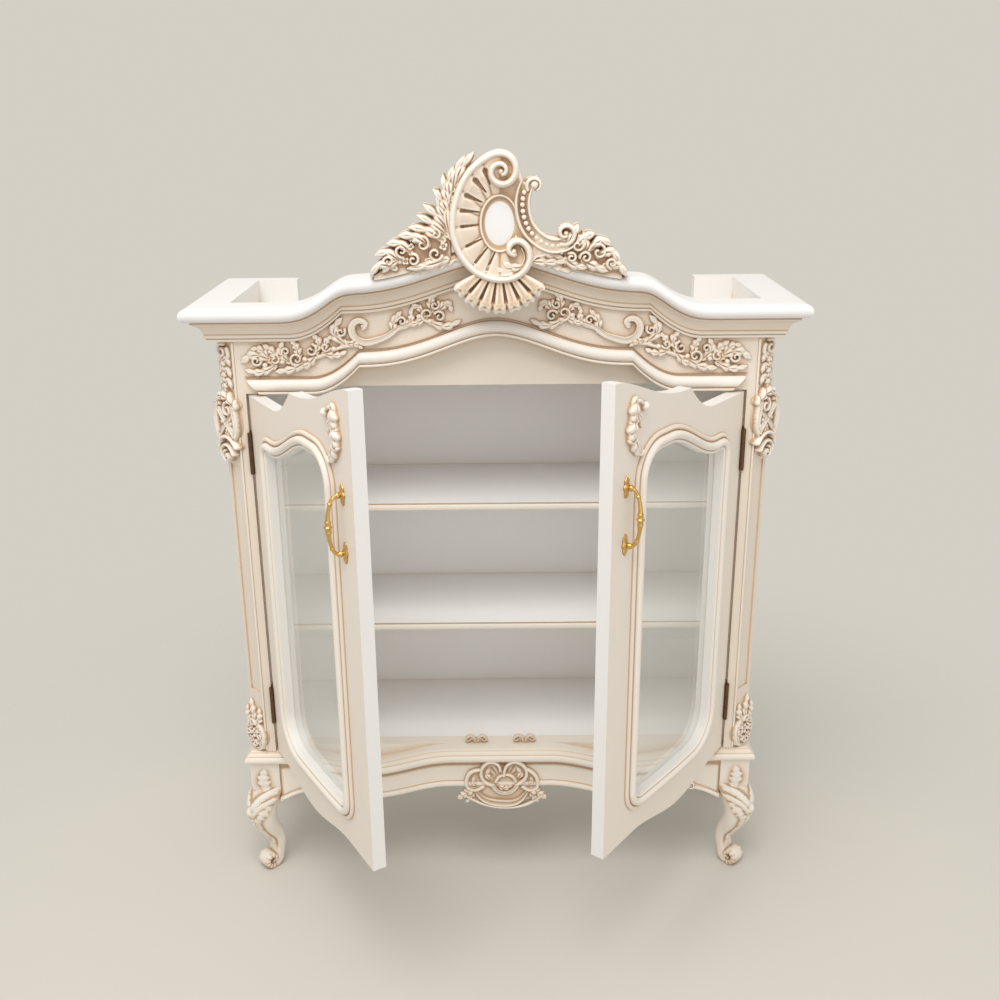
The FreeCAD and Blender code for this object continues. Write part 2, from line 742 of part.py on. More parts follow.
def between(outer, inner, y_from, y_to):
    """Ring between two upright wires, from one depth to another."""
    whole, hole = Part.Face(outer), Part.Face(inner)
    whole.translate(DEPTH * y_from)
    hole.translate(DEPTH * y_from)
    run_out = DEPTH * (y_to - y_from)
    return whole.extrude(run_out).cut(hole.extrude(run_out))


def door_member(label, curves, side):
    """Stile or rail: outline padded to the door's thickness, behind the hinge pin's plane."""
    body = doc.addObject("PartDesign::Body", label)
    pad(body, sketch_on(body, "XZ_Plane", "outline", curves, -size.knuckle_radius), "sheet.door_thickness", True)
    hang(body, side)
    keep(body, label)


def door(word, side):
    """One glazed door: two stiles, two rails, bolection moulding, glass, handle and its hinge leaves."""
    first, last = light_limits()
    near, far = size.hinge_gap / 2, DOOR_REACH
    face = size.knuckle_radius

    def full(s_from, s_to):
        return loop(door_edge(s_from, s_to, side, False), door_edge(s_from, s_to, side, True))

    door_member(f"{word}_hinge_stile", full(near, first), side)
    door_member(f"{word}_meeting_stile", full(last, far), side)
    door_member(f"{word}_top_rail", loop(light_head(side), door_edge(first, last, side, True)), side)
    door_member(f"{word}_bottom_rail", loop(door_edge(first, last, side, False), light_foot(side)), side)

    outer = light_wire(side, size.bolection_outer)
    inner = light_wire(side, -size.bolection_inner)
    rebate = light_wire(side, -size.glass_clearance)
    raised = between(outer, inner, face - size.bolection_rise, face)
    lip = between(rebate, inner, face, face + size.glass_setback)
    solid(f"{word}_bolection", raised.fuse(lip).removeSplitter(), side)
    pane = Part.Face(rebate)
    pane.translate(DEPTH * (face + size.glass_setback))
    solid(f"{word}_glass", pane.extrude(DEPTH * size.glass_thickness), side)
    solid(f"{word}_door_drop", door_drop(side), side)
    solid(f"{word}_handle", bow_handle(side), side)
    door_leaves = [hinge_leaf(centre, side, True) for centre in (size.upper_hinge, size.lower_hinge)]
    solid(f"{word}_door_hinges", Part.makeCompound(door_leaves), side)


def hinge_leaf(centre, side, moving):
    """Butt hinge leaf about the pin axis: the door's leaf has the end knuckles and the pin, the post's the middle one."""
    length, radius = size.hinge_length, size.knuckle_radius
    third = length / 3
    low = centre - length / 2
    gap = size.knuckle_gap
    leaf_in = size.hinge_gap / 2
    leaf_x = -side * leaf_in if moving else side * leaf_in
    edge = min(leaf_x, leaf_x + (side if moving else -side) * size.leaf_thickness)
    leaf = Part.makeBox(size.leaf_thickness, size.leaf_width, length, Vec(edge, radius * 0.5, low))
    middle = (low + third, low + 2 * third)
    tops = (low, low + length)
    if moving:
        spans = [(tops[0], middle[0] - gap / 2), (middle[1] + gap / 2, tops[1])]
        clear = (middle[0] - gap / 2, middle[1] + gap / 2)
    else:
        spans = [(middle[0] + gap / 2, middle[1] - gap / 2)]
    barrels = [Part.makeCylinder(radius, b - a, UP * a) for a, b in spans]
    shape = barrels[0].fuse(barrels[1:] + [leaf])
    room = radius + gap
    if moving:
        shape = shape.cut(Part.makeCylinder(room, clear[1] - clear[0], UP * clear[0]))
        shape = shape.fuse(Part.makeCylinder(size.pin_radius, length, UP * low))
    else:
        for a, b in ((tops[0], spans[0][0]), (spans[0][1], tops[1])):
            shape = shape.cut(Part.makeCylinder(room, b - a, UP * a))
        shape = shape.cut(Part.makeCylinder(size.pin_radius + size.pin_clearance, length, UP * low))
    return shape.removeSplitter()


def post_hinges():
    leaves = []
    for side in SIDES.values():
        for centre in (size.upper_hinge, size.lower_hinge):
            leaf = hinge_leaf(centre, side, False)
            leaf.translate(Vec(side * PIN_X, PIN_Y, 0))
            leaves.append(leaf)
    solid("post_hinge_leaves", Part.makeCompound(leaves))


def bow_handle(side):
    """Cast bow handle: bent rod between two leaf-shaped plates."""
    x = -side * (DOOR_REACH - size.handle_inset)
    face = size.knuckle_radius
    half = size.handle_centres / 2
    out = face - size.handle_standoff
    plate_y = face - size.handle_leaf_thickness
    z = size.handle_height
    points = [Vec(x, plate_y, z - half), Vec(x, plate_y - 11, z - half * 0.97), Vec(x, out + 3, z - half * 0.62),
              Vec(x, out, z), Vec(x, out + 3, z + half * 0.62), Vec(x, plate_y - 11, z + half * 0.97),
              Vec(x, plate_y, z + half)]
    path = Part.Wire(spline(points).toShape())
    start = Part.Wire(Part.makeCircle(size.handle_radius, points[0], points[1] - points[0]))
    rod = path.makePipeShell([start], True, False)
    shape = rod
    for sign in (-1, 1):
        middle = Vec(x, face, z + sign * (half + size.handle_leaf_length * 0.2))
        leaf = Part.Face(Part.Wire(flat_oval(middle))).extrude(DEPTH * -size.handle_leaf_thickness)
        shape = shape.fuse(leaf)
    rear = Part.makeBox(100, 50, 300, Vec(x - 50, face, z - 150))
    return shape.cut(rear).removeSplitter()


def flat_oval(middle):
    """Upright oval outline of a handle's end plate, longer than it is wide."""
    long, wide = size.handle_leaf_length / 2, size.handle_leaf_width / 2
    oval = Part.Ellipse(Vec(0, 0, 0), long, wide)
    edge = oval.toShape()
    edge.Placement = FreeCAD.Placement(middle, FreeCAD.Rotation(Vec(0, 0, 1), Vec(1, 0, 0), Vec(0, -1, 0), "ZXY"))
    return edge


# Carving
def lobed_outline(middle, half_width, lobes, cut=0.28, per_lobe=6):
    """Closed leafy outline round a centre line given as a function of 0..1, in a sketch's plane.

    Offset by half_width(t) * (1 - cut * cos(2 pi lobes t)) on both sides.
    """
    count = lobes * per_lobe
    sides = ([], [])
    for i in range(count + 1):
        t = i / count
        here = middle(t)
        ahead = middle(min(t + 1e-3, 1.0)) - middle(max(t - 1e-3, 0.0))
        ahead.normalize()
        across = Vec(-ahead.y, ahead.x, 0)
        reach = half_width(t) * (1 - cut * math.cos(2 * math.pi * lobes * t))
        sides[0].append(here + across * reach)
        sides[1].append(here - across * reach)
    caps = [Part.LineSegment(sides[0][i], sides[1][i]) for i in (0, -1)]
    return [spline(sides[0]), spline(sides[1])] + caps


def run(points):
    """Centre line through a few chosen points, as a function of 0..1."""
    curve = spline([Vec(x, z, 0) for x, z in points])
    span = curve.LastParameter - curve.FirstParameter
    return lambda t: curve.value(curve.FirstParameter + span * t)


def carved(outline, depth):
    """Relief cut from a leafy outline in the upright plane, standing out to the front of it."""
    edges = [curve.toShape() for curve in outline]
    face = Part.Face(Part.Wire(Part.__sortEdges__(edges)))
    upright = FreeCAD.Placement(Vec(0, 0, 0), FreeCAD.Rotation(Vec(1, 0, 0), 90))
    face.Placement = upright
    return face.extrude(DEPTH * -depth)


def swag(sign):
    """Acanthus swag that follows the frieze, in two clusters that meet in a thin C-scroll."""
    lower = size.arch_bottom + size.arch_height
    first, last = OPENING - 14, 72
    joint = 0.46

    def middle(t):
        x = first + (last - first) * t
        z = (lower + arch(x) + size.cornice_bottom + crown(x)) / 2
        return Vec(sign * x, z, 0)

    def half_width(t):
        taper = min(1.0, 6 * t + 0.25, 6 * (1 - t) + 0.25)
        waist = 1 - 0.55 * math.exp(-((t - joint) / 0.05) ** 2)
        return size.swag_half_width * taper * waist
    return carved(lobed_outline(middle, half_width, 9), size.relief)


def leaf_width(widest, tail=0.3):
    return lambda t: widest * (tail + (1 - tail) * math.sin(math.pi * min(max(t, 0.04), 0.96)) ** 0.7)


def post_carving(sign):
    """Husk drop, cartouche and foot cluster planted on the canted face of a corner post."""
    spans = [(1110, 1026, 19, 4, 1.0), (1022, 893, 30, 3, 1.8), (396, 290, 29, 3, 1.4)]
    drops = []
    for top, bottom, widest, lobes, boldness in spans:
        middle = run([(sign * 3, bottom), (sign * 5, (top + bottom) / 2), (sign * 3, top)])
        drops.append(carved(lobed_outline(middle, leaf_width(widest, 0.45), lobes), size.relief * boldness))
    for drop in drops:
        drop.rotate(Vec(0, 0, 0), UP, sign * 45)
        drop.translate(Vec(sign * (HALF - size.post_cant / 2), size.post_cant / 2, 0))
    return Part.makeCompound(drops)


def door_drop(side):
    """Tulip drop on the meeting stile."""
    s = DOOR_REACH - size.meeting_stile_width * 0.6
    middle = run([(-side * (s - 12), 992), (-side * (s + 2), 1034), (-side * s, 1080)])
    drop = carved(lobed_outline(middle, leaf_width(15, 0.4), 3), size.relief)
    drop.translate(DEPTH * size.knuckle_radius)
    return drop


def volute(centre, radius_from, radius_to, turn_from, turn_to, count):
    """Points of a spiral: radius and angle both run evenly from their first to their last value."""
    points = []
    for i in range(count + 1):
        share = i / count
        radius = radius_from + (radius_to - radius_from) * share
        angle = math.radians(turn_from + (turn_to - turn_from) * share)
        points.append((centre[0] + radius * math.cos(angle), centre[1] + radius * math.sin(angle)))
    return points


def scroll(points, plane_y):
    """Rounded scroll band planted on an upright plane: a bow-shaped section carried along the path."""
    path = Part.Wire(spline([Vec(x, plane_y, z) for x, z in points]).toShape())
    ahead = Vec(points[1][0] - points[0][0], 0, points[1][1] - points[0][1])
    ahead.normalize()
    across = DEPTH.cross(ahead)
    start = Vec(points[0][0], plane_y, points[0][1])
    half, rise = size.scroll_half_width, size.scroll_rise
    bow = Part.Arc(start - across * half, start - DEPTH * rise, start + across * half).toShape()
    chord = Part.LineSegment(start + across * half, start - across * half).toShape()
    shell = Part.BRepOffsetAPI.MakePipeShell(path)
    shell.setBiNormalMode(DEPTH)
    shell.add(Part.Wire([bow, chord]))
    shell.build()
    shell.makeSolid()
    return shell.shape()


def gadroons(centre, start, stop, angles, thin, thick, plane_y):
    """Fan of tapering ribs on an upright plane, each a cone with a round end, cut flat at the back."""
    ribs = []
    for angle in angles:
        ray = Vec(math.cos(math.radians(angle)), 0, math.sin(math.radians(angle)))
        base = Vec(centre[0], plane_y, centre[1])
        ribs.append(Part.makeCone(thin, thick, stop - start, base + ray * start, ray))
        ribs.append(Part.makeSphere(thick, base + ray * stop))
    fan = ribs[0].fuse(ribs[1:])
    behind = Part.makeBox(600, 200, 600, Vec(centre[0] - 300, plane_y, centre[1] - 300))
    return fan.cut(behind).removeSplitter()


def largest(shape):
    return max(shape.Solids, key=lambda piece: piece.Volume)


def crest():
    """Unequal rocaille crest: C-scroll with volutes, fluted shell, cabochon, fan and flanking sprays."""
    front = -size.cornice_overhang
    top = CORNICE_TOP
    left_scroll = volute((9, 1394), 12, 35, -360, 84, 22)
    left_scroll += [(-20, 1423), (-52, 1400), (-69, 1360), (-72, 1321), (-63, 1280), (-40, 1250), (0, 1233)]
    left_scroll += volute((38, 1271), 37, 12, -80, 250, 14)
    main_scroll = scroll(left_scroll, front)
    right_path = volute((56, 1375), 8, 18, -60, 180, 8)
    right_path += [(36, 1352), (41, 1327), (56, 1305), (80, 1293)]
    right_path += volute((98, 1311), 20, 9, -60, 200, 8)
    small_scroll = largest(scroll(right_path, front).cut(main_scroll))

    shell_left, shell_right = -80, 118
    seat = stretch(crown, crown_breaks(), shell_left, shell_right, top + size.crest_lift)
    low_a, low_b = ends(seat)
    rim = [Vec(x, z, 0) for x, z in [(122, 1310), (96, 1330), (64, 1326), (58, 1350), (76, 1378), (58, 1394), (42, 1414),
                                     (10, 1430), (-34, 1416), (-66, 1380), (shell_left, 1330)]]
    outline = seat + [Part.LineSegment(low_b, rim[0]), spline(rim), Part.LineSegment(rim[-1], low_a)]
    backing = carved(outline, size.crest_thickness)
    backing.translate(DEPTH * (front + size.crest_thickness))
    flutes = gadroons((10, 1319), 44, 62, range(112, 292, 18), 4, 7, front)
    shell = backing.fuse(flutes.cut([main_scroll, small_scroll])).removeSplitter()
    cabochon = Part.makeSphere(1, Vec(0, 0, 0))
    stretch_out = FreeCAD.Matrix()
    stretch_out.scale(size.cabochon_width / 2, size.cabochon_rise, size.cabochon_height / 2)
    cabochon = cabochon.transformGeometry(stretch_out)
    cabochon.translate(Vec(10, front, 1319))
    cabochon = cabochon.cut(Part.makeBox(200, 100, 200, Vec(-90, front, 1219)))
    solid("crest_shell", largest(shell.cut(cabochon)))
    solid("crest_cabochon", largest(cabochon.cut([main_scroll, small_scroll])))
    solid("crest_main_scroll", main_scroll)
    solid("crest_small_scroll", small_scroll)
    solid("crest_fan", fan_shell(left_scroll, front))
    spray("crest_left_spray", -208, shell_left - size.seat_gap,
          [(-204, 1252), (-180, 1286), (-168, 1270), (-146, 1322), (-132, 1300), (-116, 1362), (-104, 1340),
           (-92, 1400), (-86, 1376)])
    spray("crest_right_spray", shell_right + 4 + size.seat_gap, 218,
          [(126, 1316), (142, 1312), (148, 1292), (166, 1298), (174, 1276), (194, 1272), (200, 1250), (212, 1248)])


def fan_shell(path, plane_y):
    """Scalloped fan that hangs below the main scroll, with a groove between its lobes."""
    band = spline([Vec(x, z, 0) for x, z in path])
    hub = Vec(6, 1254, 0)
    first = band.parameter(Vec(-63, 1280, 0))
    last = band.parameter(Vec(68, 1258, 0))
    half, rise = size.scroll_half_width, size.scroll_rise
    bulge = (half ** 2 + rise ** 2) / (2 * rise)
    reach = max(half, bulge) + size.seat_gap
    seat = []
    for i in range(15):
        here = first + (last - first) * i / 14
        ahead = band.tangent(here)[0]
        seat.append(band.value(here) + Vec(ahead.y, -ahead.x, 0) * reach)
    valleys = [size.fan_from + (size.fan_to - size.fan_from) * i / size.fan_lobes
               for i in range(int(size.fan_lobes) + 1)]

    def at(angle, radius):
        turn = math.radians(angle)
        return hub + Vec(math.cos(turn), math.sin(turn), 0) * radius

    edges = [spline(seat), Part.LineSegment(seat[0], at(valleys[0], size.fan_valley))]
    for a, b in zip(valleys, valleys[1:]):
        edges.append(Part.Arc(at(a, size.fan_valley), at((a + b) / 2, size.fan_radius), at(b, size.fan_valley)))
    edges.append(Part.LineSegment(at(valleys[-1], size.fan_valley), seat[-1]))
    fan = carved(edges, size.fan_rise)
    fan.translate(DEPTH * plane_y)
    for angle in valleys[1:-1]:
        ray = Vec(math.cos(math.radians(angle)), 0, math.sin(math.radians(angle)))
        start = Vec(hub.x, plane_y - size.fan_rise, hub.y)
        fan = fan.cut(Part.makeCone(2, 6, size.fan_radius + 10, start, ray))
    return fan


def spray(label, x_from, x_to, tips):
    """Flat spray of leaves and flowers standing on the cornice beside the shell."""
    seat = stretch(crown, crown_breaks(), x_from, x_to, CORNICE_TOP + size.crest_lift)
    low_a, low_b = ends(seat)
    rim = [Vec(x, z, 0) for x, z in tips]
    outline = seat + [Part.LineSegment(low_a, rim[0]), spline(rim), Part.LineSegment(rim[-1], low_b)]
    plate(label, outline, "sheet.crest_thickness", "-sheet.cornice_overhang")


def apron_shell():
    """Lobed shell cartouche planted on the front apron."""
    middle = Vec(0, BASE_BOTTOM - size.apron_shell_height / 2 - 2, 0)
    wide, tall = size.apron_shell_width / 2, size.apron_shell_height / 2
    points = []
    for i in range(73):
        angle = 2 * math.pi * i / 72
        reach = 1 - 0.07 * (1 - math.cos(9 * angle))
        points.append(middle + Vec(wide * reach * math.cos(angle), tall * reach * math.sin(angle), 0))
    halves = [spline(points[:37]), spline(points[36:])]
    solid("apron_shell", carved(halves, size.relief * 1.5))


def carvings():
    crest()
    for word, sign in SIDES.items():
        solid(f"{word}_frieze_swag", swag(sign))
        solid(f"{word}_post_carving", post_carving(sign))
    apron_shell()


def export():
    """Check every object, then write one file for each piece."""
    doc.recompute()
    for item in doc.Objects:
        if "Invalid" in item.State or "Error" in item.State:
            raise RuntimeError(f"{item.Label} failed: {item.State}")
    for piece in nodes:
        if piece.Shape.isNull() or not piece.Shape.isValid() or not piece.Shape.Solids:
            raise RuntimeError(f"{piece.Label}: no valid solid")
    os.makedirs("parts", exist_ok=True)
    for piece in nodes:
        piece.Shape.exportStep(os.path.join("parts", f"{piece.Label}.step"))


carcass_boards()
frieze()
cornice()
base_frame()
shelves()
for word, side in SIDES.items():
    door(word, side)
post_hinges()
carvings()
export()
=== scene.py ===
"""Painted display cabinet: carving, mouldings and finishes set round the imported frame."""
import json
import math

import bmesh
import bpy
import numpy as np
from mathutils import Matrix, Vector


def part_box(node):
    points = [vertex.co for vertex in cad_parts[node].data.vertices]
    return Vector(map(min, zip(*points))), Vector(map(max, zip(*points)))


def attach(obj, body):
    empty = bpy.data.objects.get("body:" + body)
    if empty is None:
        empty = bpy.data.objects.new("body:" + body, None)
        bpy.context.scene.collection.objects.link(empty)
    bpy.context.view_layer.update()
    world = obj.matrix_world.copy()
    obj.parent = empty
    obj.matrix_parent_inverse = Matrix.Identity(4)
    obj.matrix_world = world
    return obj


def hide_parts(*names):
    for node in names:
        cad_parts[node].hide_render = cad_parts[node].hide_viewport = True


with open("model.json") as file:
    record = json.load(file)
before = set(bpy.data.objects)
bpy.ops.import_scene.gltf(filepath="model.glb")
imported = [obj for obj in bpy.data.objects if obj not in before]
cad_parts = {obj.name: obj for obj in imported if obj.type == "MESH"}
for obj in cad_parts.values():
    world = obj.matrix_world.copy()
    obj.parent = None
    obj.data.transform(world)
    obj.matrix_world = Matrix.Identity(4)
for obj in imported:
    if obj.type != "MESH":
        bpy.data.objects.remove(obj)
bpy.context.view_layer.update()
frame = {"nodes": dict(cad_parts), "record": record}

MM = 0.001
NODES = frame["nodes"]
SLOTS = {part["node"]: part["material_slot"] for part in frame["record"]["subparts"]}
SIDES = {"left": -1, "right": 1}
FRONT_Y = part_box("left_front_post")[0].y / MM

bl_info = {
    "name": "Carved display cabinet",
    "version": (1, 0, 0),
    "blender": (4, 5, 0),
    "location": "View3D > Sidebar > Cabinet",
    "description": "Builds the carved, moulded and painted pieces of a display cabinet",
    "category": "Object",
}

# Sizes of the cabinet, in millimetres from the floor and from the posts' front plane
HALF = 500.0
DEPTH = 318.0
CORNICE_LOW = 1118.0
CORNICE_TALL = 63.0
CORNICE_TOP = CORNICE_LOW + CORNICE_TALL
CORNICE_OUT = 45.0
CORNICE_IN = 30.0
NOSE = 12.0
CROWN_END = 462.0
ARCH_LOW = 1023.0
ARCH_TALL = 31.0
ARCH_END = 448.0
BASE_LOW = 259.0
BASE_END = 470.0
APRON_END = 445.5
POST_CANT = 17.0
PIN_X = 447.0
PIN_Y = -4.0
OPEN = {"left": 59.0, "right": 53.0}
FACE = 4.0
CREST_FRONT = -45.0
CREST_THICK = 30.0
CABOCHON = (8.0, 1322.0)
SUNK = -1.5


def settings(name):
    """The scene's group of settings of that name."""
    return getattr(bpy.context.scene, name)


def mm(length):
    """A setting's length in millimetres, rounded clear of its storage."""
    return round(length / MM, 4)


# Curves of the cabinet's outline
def smooth(t):
    """Ease from 0 to 1: three squares of the share less two of its cubes, level at both ends."""
    t = np.clip(t, 0.0, 1.0)
    return t * t * (3 - 2 * t)


def crown(x):
    """Rise of the cornice: a hollow flank up to a cusp, then a swelling arch to the middle."""
    u = np.abs(np.asarray(x, float))
    flank = 48 * (np.clip(360 - u, 0, None) / 91) ** 1.8
    arch_part = 48 + 54 * smooth((np.clip(269 - u, 0, None) / 269) ** 1.3)
    return np.where(u >= 269, flank, arch_part)


def arch(x):
    """Rise of the frieze's lower edge: the same curve, drawn in a little."""
    return crown(np.asarray(x, float) / 0.9)


def dip(x):
    """Swag of the base under each door: a squared cosine."""
    turn = (np.abs(np.asarray(x, float)) - 268) / 170
    return np.where(np.abs(turn) < 1, -28 * np.cos(np.pi / 2 * turn) ** 2, 0.0)


def apron_edge(x):
    """Lower edge of the apron: it follows the base line and falls in a bracket beside each leg."""
    x = np.asarray(x, float)
    share = np.clip(np.abs(x) - 372.5, 0, None) / 73
    return 204 + dip(x) - 34 * share ** 1.3


# Lines in a plane
def curve(points, step=0.8):
    """Smooth line through the points: a natural cubic spline over chord length, read at even steps."""
    p = np.asarray(points, float)
    chord = np.linalg.norm(np.diff(p, axis=0), axis=1)
    knots = np.concatenate([[0.0], np.cumsum(chord)])
    system = np.eye(len(p))
    pull = np.zeros_like(p)
    inner = np.arange(1, len(p) - 1)
    system[inner, inner - 1] = chord[:-1]
    system[inner, inner] = 2 * (chord[:-1] + chord[1:])
    system[inner, inner + 1] = chord[1:]
    slope = np.diff(p, axis=0) / chord[:, None]
    pull[1:-1] = 6 * np.diff(slope, axis=0)
    bend = np.linalg.solve(system, pull)
    fine = np.linspace(0, knots[-1], max(int(knots[-1] / step) * 3, 12))
    k = np.clip(np.searchsorted(knots, fine, side="right") - 1, 0, len(chord) - 1)
    h = chord[k][:, None]
    a = (knots[k + 1] - fine)[:, None]
    b = (fine - knots[k])[:, None]
    line = (bend[k] * a ** 3 + bend[k + 1] * b ** 3) / (6 * h)
    line += (p[k] / h - bend[k] * h / 6) * a + (p[k + 1] / h - bend[k + 1] * h / 6) * b
    run = np.concatenate([[0.0], np.cumsum(np.linalg.norm(np.diff(line, axis=0), axis=1))])
    even = np.linspace(0, run[-1], max(int(run[-1] / step), 6))
    return np.stack([np.interp(even, run, line[:, i]) for i in range(p.shape[1])], 1)


def beside(points, offset):
    """Line that runs beside a smooth line, moved to its left along its normals."""
    path = curve(points, 2.0)
    ahead = np.gradient(path, axis=0)
    ahead /= np.linalg.norm(ahead, axis=1)[:, None]
    return path + offset * np.stack([-ahead[:, 1], ahead[:, 0]], 1)


def spiral(centre, radius, turn, count=24):
    """Volute: radius and angle, each a pair, both run evenly from first to last."""
    share = np.linspace(0, 1, count)
    r = radius[0] + (radius[1] - radius[0]) * share
    a = np.radians(turn[0] + (turn[1] - turn[0]) * share)
    return np.stack([centre[0] + r * np.cos(a), centre[1] + r * np.sin(a)], 1)


def arc(centre, radius, turn, count=9):
    """Arc of a circle: a volute whose radius stays the same."""
    return spiral(centre, (radius, radius), turn, count)


def oval(centre, radii, turn, count, glaze_and_shade):
    """Section rows along part of an oval: radii times cosine and sine about a centre, with an even glaze."""
    ring = arc((0, 0), 1, turn, count)
    return [(centre[0] + radii[0] * c, centre[1] + radii[1] * s, glaze_and_shade) for c, s in ring]


# From millimetres to pieces
def in_cabinet(points):
    """Cabinet millimetres to the frame's metres: y is moved to the posts' front plane, then all is scaled."""
    moved = np.array(points, float)
    moved[..., 1] += FRONT_Y
    return moved * MM


def on_door(points, side):
    """Points given from the hinge pin, as distance, depth and height, swung open with the door.

    They are turned about the pin by cosine and sine, and then moved to the pin's own place.
    """
    word = "left" if side < 0 else "right"
    turn = math.radians(OPEN[word]) * side
    s, y, z = (points[..., i] for i in range(3))
    x = -side * s
    swung_x = x * math.cos(turn) - y * math.sin(turn) + side * PIN_X
    swung_y = x * math.sin(turn) + y * math.cos(turn) + PIN_Y
    return np.stack([swung_x, swung_y, z], -1)


def flat_at(plane_y, sign=1):
    """Carrier for a relief on an upright board.

    Its x is kept or mirrored, and its y lies before the board by the height.
    """
    def carry(x, h, z):
        return np.stack([sign * x, plane_y - h, z], -1)
    return carry


def on_leaf(sign):
    """Carrier for a relief on a door's face.

    The height stands off the face, and all swings open with the door.
    """
    def carry(s, h, z):
        return on_door(np.stack([s, FACE - h, z], -1), sign)
    return carry


def on_cant(sign):
    """Carrier for a relief on a post's canted face.

    Its x runs outwards along the cant, and the height stands squarely off it.
    """
    across = np.array([sign * 1.0, 1.0]) / math.sqrt(2)
    outward = np.array([sign * 1.0, -1.0]) / math.sqrt(2)
    middle = np.array([sign * (HALF - POST_CANT), POST_CANT])

    def carry(x, h, z):
        xy = middle + x[:, None] * across + h[:, None] * outward
        return np.stack([xy[:, 0], xy[:, 1], z], -1)
    return carry


def on_nose(sign):
    """Carrier for a relief round the cornice's nose.

    Its z becomes a length along the round, from the top edge down.
    """
    flat = 0.6
    middle_y = NOSE - CORNICE_OUT

    def carry(x, h, z):
        down = np.clip((CORNICE_TOP + crown(x) + NOSE - z) / NOSE, 0, 3.2)
        turn = np.clip(down - flat, -flat, np.pi * 0.75)
        radius = NOSE + h
        y = np.where(down < flat, middle_y + (flat - down) * NOSE, middle_y - radius * np.sin(turn))
        up = CORNICE_TOP - NOSE + crown(x) + radius * np.cos(np.maximum(turn, 0))
        return np.stack([sign * x, y, up], -1)
    return carry


def lattice(rows, cols, wrap_rows=False, wrap_cols=False):
    """Quads of a grid of points, closed round either way when asked."""
    index = np.arange(rows * cols).reshape(rows, cols)
    if wrap_rows:
        index = np.vstack([index, index[:1]])
    if wrap_cols:
        index = np.hstack([index, index[:, :1]])
    corners = index[:-1, :-1], index[1:, :-1], index[1:, 1:], index[:-1, 1:]
    return np.stack(corners, -1).reshape(-1, 4)


def grid(x, y, z):
    """Points of a surface from its three coordinates, each spread over the same rows and columns."""
    return np.stack(np.broadcast_arrays(x, y, z), -1)


def skin(name, points, quads, glaze_and_shade, sharp):
    """Mesh object from points in cabinet millimetres and quads.

    Doubles are merged, open ends filled and faces turned outwards. The glaze attribute runs from -1 on
    rubbed high places to 1 in hollows, where it paints tan glaze and the shade that falls there.
    """
    flat = np.ascontiguousarray(in_cabinet(points.reshape(-1, 3)), dtype=np.float32)
    mesh = bpy.data.meshes.new(name)
    mesh.vertices.add(len(flat))
    mesh.vertices.foreach_set("co", flat.ravel())
    mesh.loops.add(quads.size)
    mesh.loops.foreach_set("vertex_index", quads.astype(np.int32).ravel())
    mesh.polygons.add(len(quads))
    mesh.polygons.foreach_set("loop_start", np.arange(0, quads.size, 4, dtype=np.int32))
    mesh.update(calc_edges=True)
    tone = np.broadcast_to(glaze_and_shade, points.shape[:-1]).ravel()
    layer = mesh.attributes.new("glaze_and_shade", "FLOAT", "POINT")
    layer.data.foreach_set("value", np.ascontiguousarray(tone, dtype=np.float32))
    work = bmesh.new()
    work.from_mesh(mesh)
    bmesh.ops.remove_doubles(work, verts=work.verts, dist=2e-6)
    open_edges = [edge for edge in work.edges if edge.is_boundary]
    if open_edges:
        bmesh.ops.holes_fill(work, edges=open_edges, sides=0)
    bmesh.ops.recalc_face_normals(work, faces=work.faces)
    work.to_mesh(mesh)
    work.free()
    mesh.shade_smooth()
    mesh.set_sharp_from_angle(angle=math.radians(sharp))
    return bpy.data.objects.new(name, mesh)


def settle(piece, body, slot, *nodes):
    """Link a piece, give it its slot's finish and set it on its body in place of CAD nodes."""
    bpy.context.scene.collection.objects.link(piece)
    piece.data.materials.append(FINISHES[slot])
    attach(piece, body)
    if nodes:
        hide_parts(*nodes)


def on_cabinet(piece, *nodes):
    """Set an ivory piece on the cabinet itself."""
    settle(piece, "cabinet", "ivory_paint", *nodes)


def moulding(name, points, glaze_and_shade, sharp, *nodes):
    """Closed section carried along a run on the cabinet: each row of points is the section at one step."""
    on_cabinet(skin(name, points, lattice(*points.shape[:2], wrap_cols=True), glaze_and_shade, sharp), *nodes)


def tube(path, radius, sides):
    """Round rod along a path in space: circles square to the path, turned as little as possible."""
    ahead = np.gradient(path, axis=0)
    ahead /= np.linalg.norm(ahead, axis=1)[:, None]
    guide = np.cross(ahead, [1.0, 0.0, 0.0])
    guide /= np.linalg.norm(guide, axis=1)[:, None]
    other = np.cross(ahead, guide)
    turn = np.linspace(0, 2 * np.pi, sides, endpoint=False)[None, :, None]
    ring = np.cos(turn) * guide[:, None, :] + np.sin(turn) * other[:, None, :]
    return path[:, None, :] + ring * radius[:, None, None], lattice(len(path), sides, wrap_cols=True)


# Sections of carved bands, over -1 to 1 across the band
def bow(q):
    """A half round: the height of a unit circle."""
    return np.sqrt(np.clip(1 - q * q, 0, 1))


def rimmed(q):
    """A low round between two beads."""
    edge = bow((np.abs(q) - 0.7) / 0.3)
    return np.maximum(0.62 * bow(q), edge)


def gouged(q):
    """A hollow between two sharp edges."""
    return (0.45 + 0.55 * q ** 2) * bow(q ** 4)


def stepped(q):
    """A flat band with a fine bead along its left edge."""
    return np.maximum(0.8 * bow(q ** 3), bow((q - 0.75) / 0.25))


def swelling(least, more, power=1.0):
    """Width along a stroke that grows from its ends to its middle by a power of a half sine."""
    def width(t):
        return least + more * np.sin(np.pi * np.clip(t, 0, 1)) ** power
    return width


def at(value, t):
    """A width or rise along a stroke, over 0 to 1.

    It is one number, a first and a last number, a list of places and numbers, or a function.
    """
    if callable(value):
        return value(t)
    if isinstance(value, list):
        return np.interp(t, *zip(*value))
    if isinstance(value, tuple):
        return value[0] + (value[1] - value[0]) * t
    return value + 0 * t


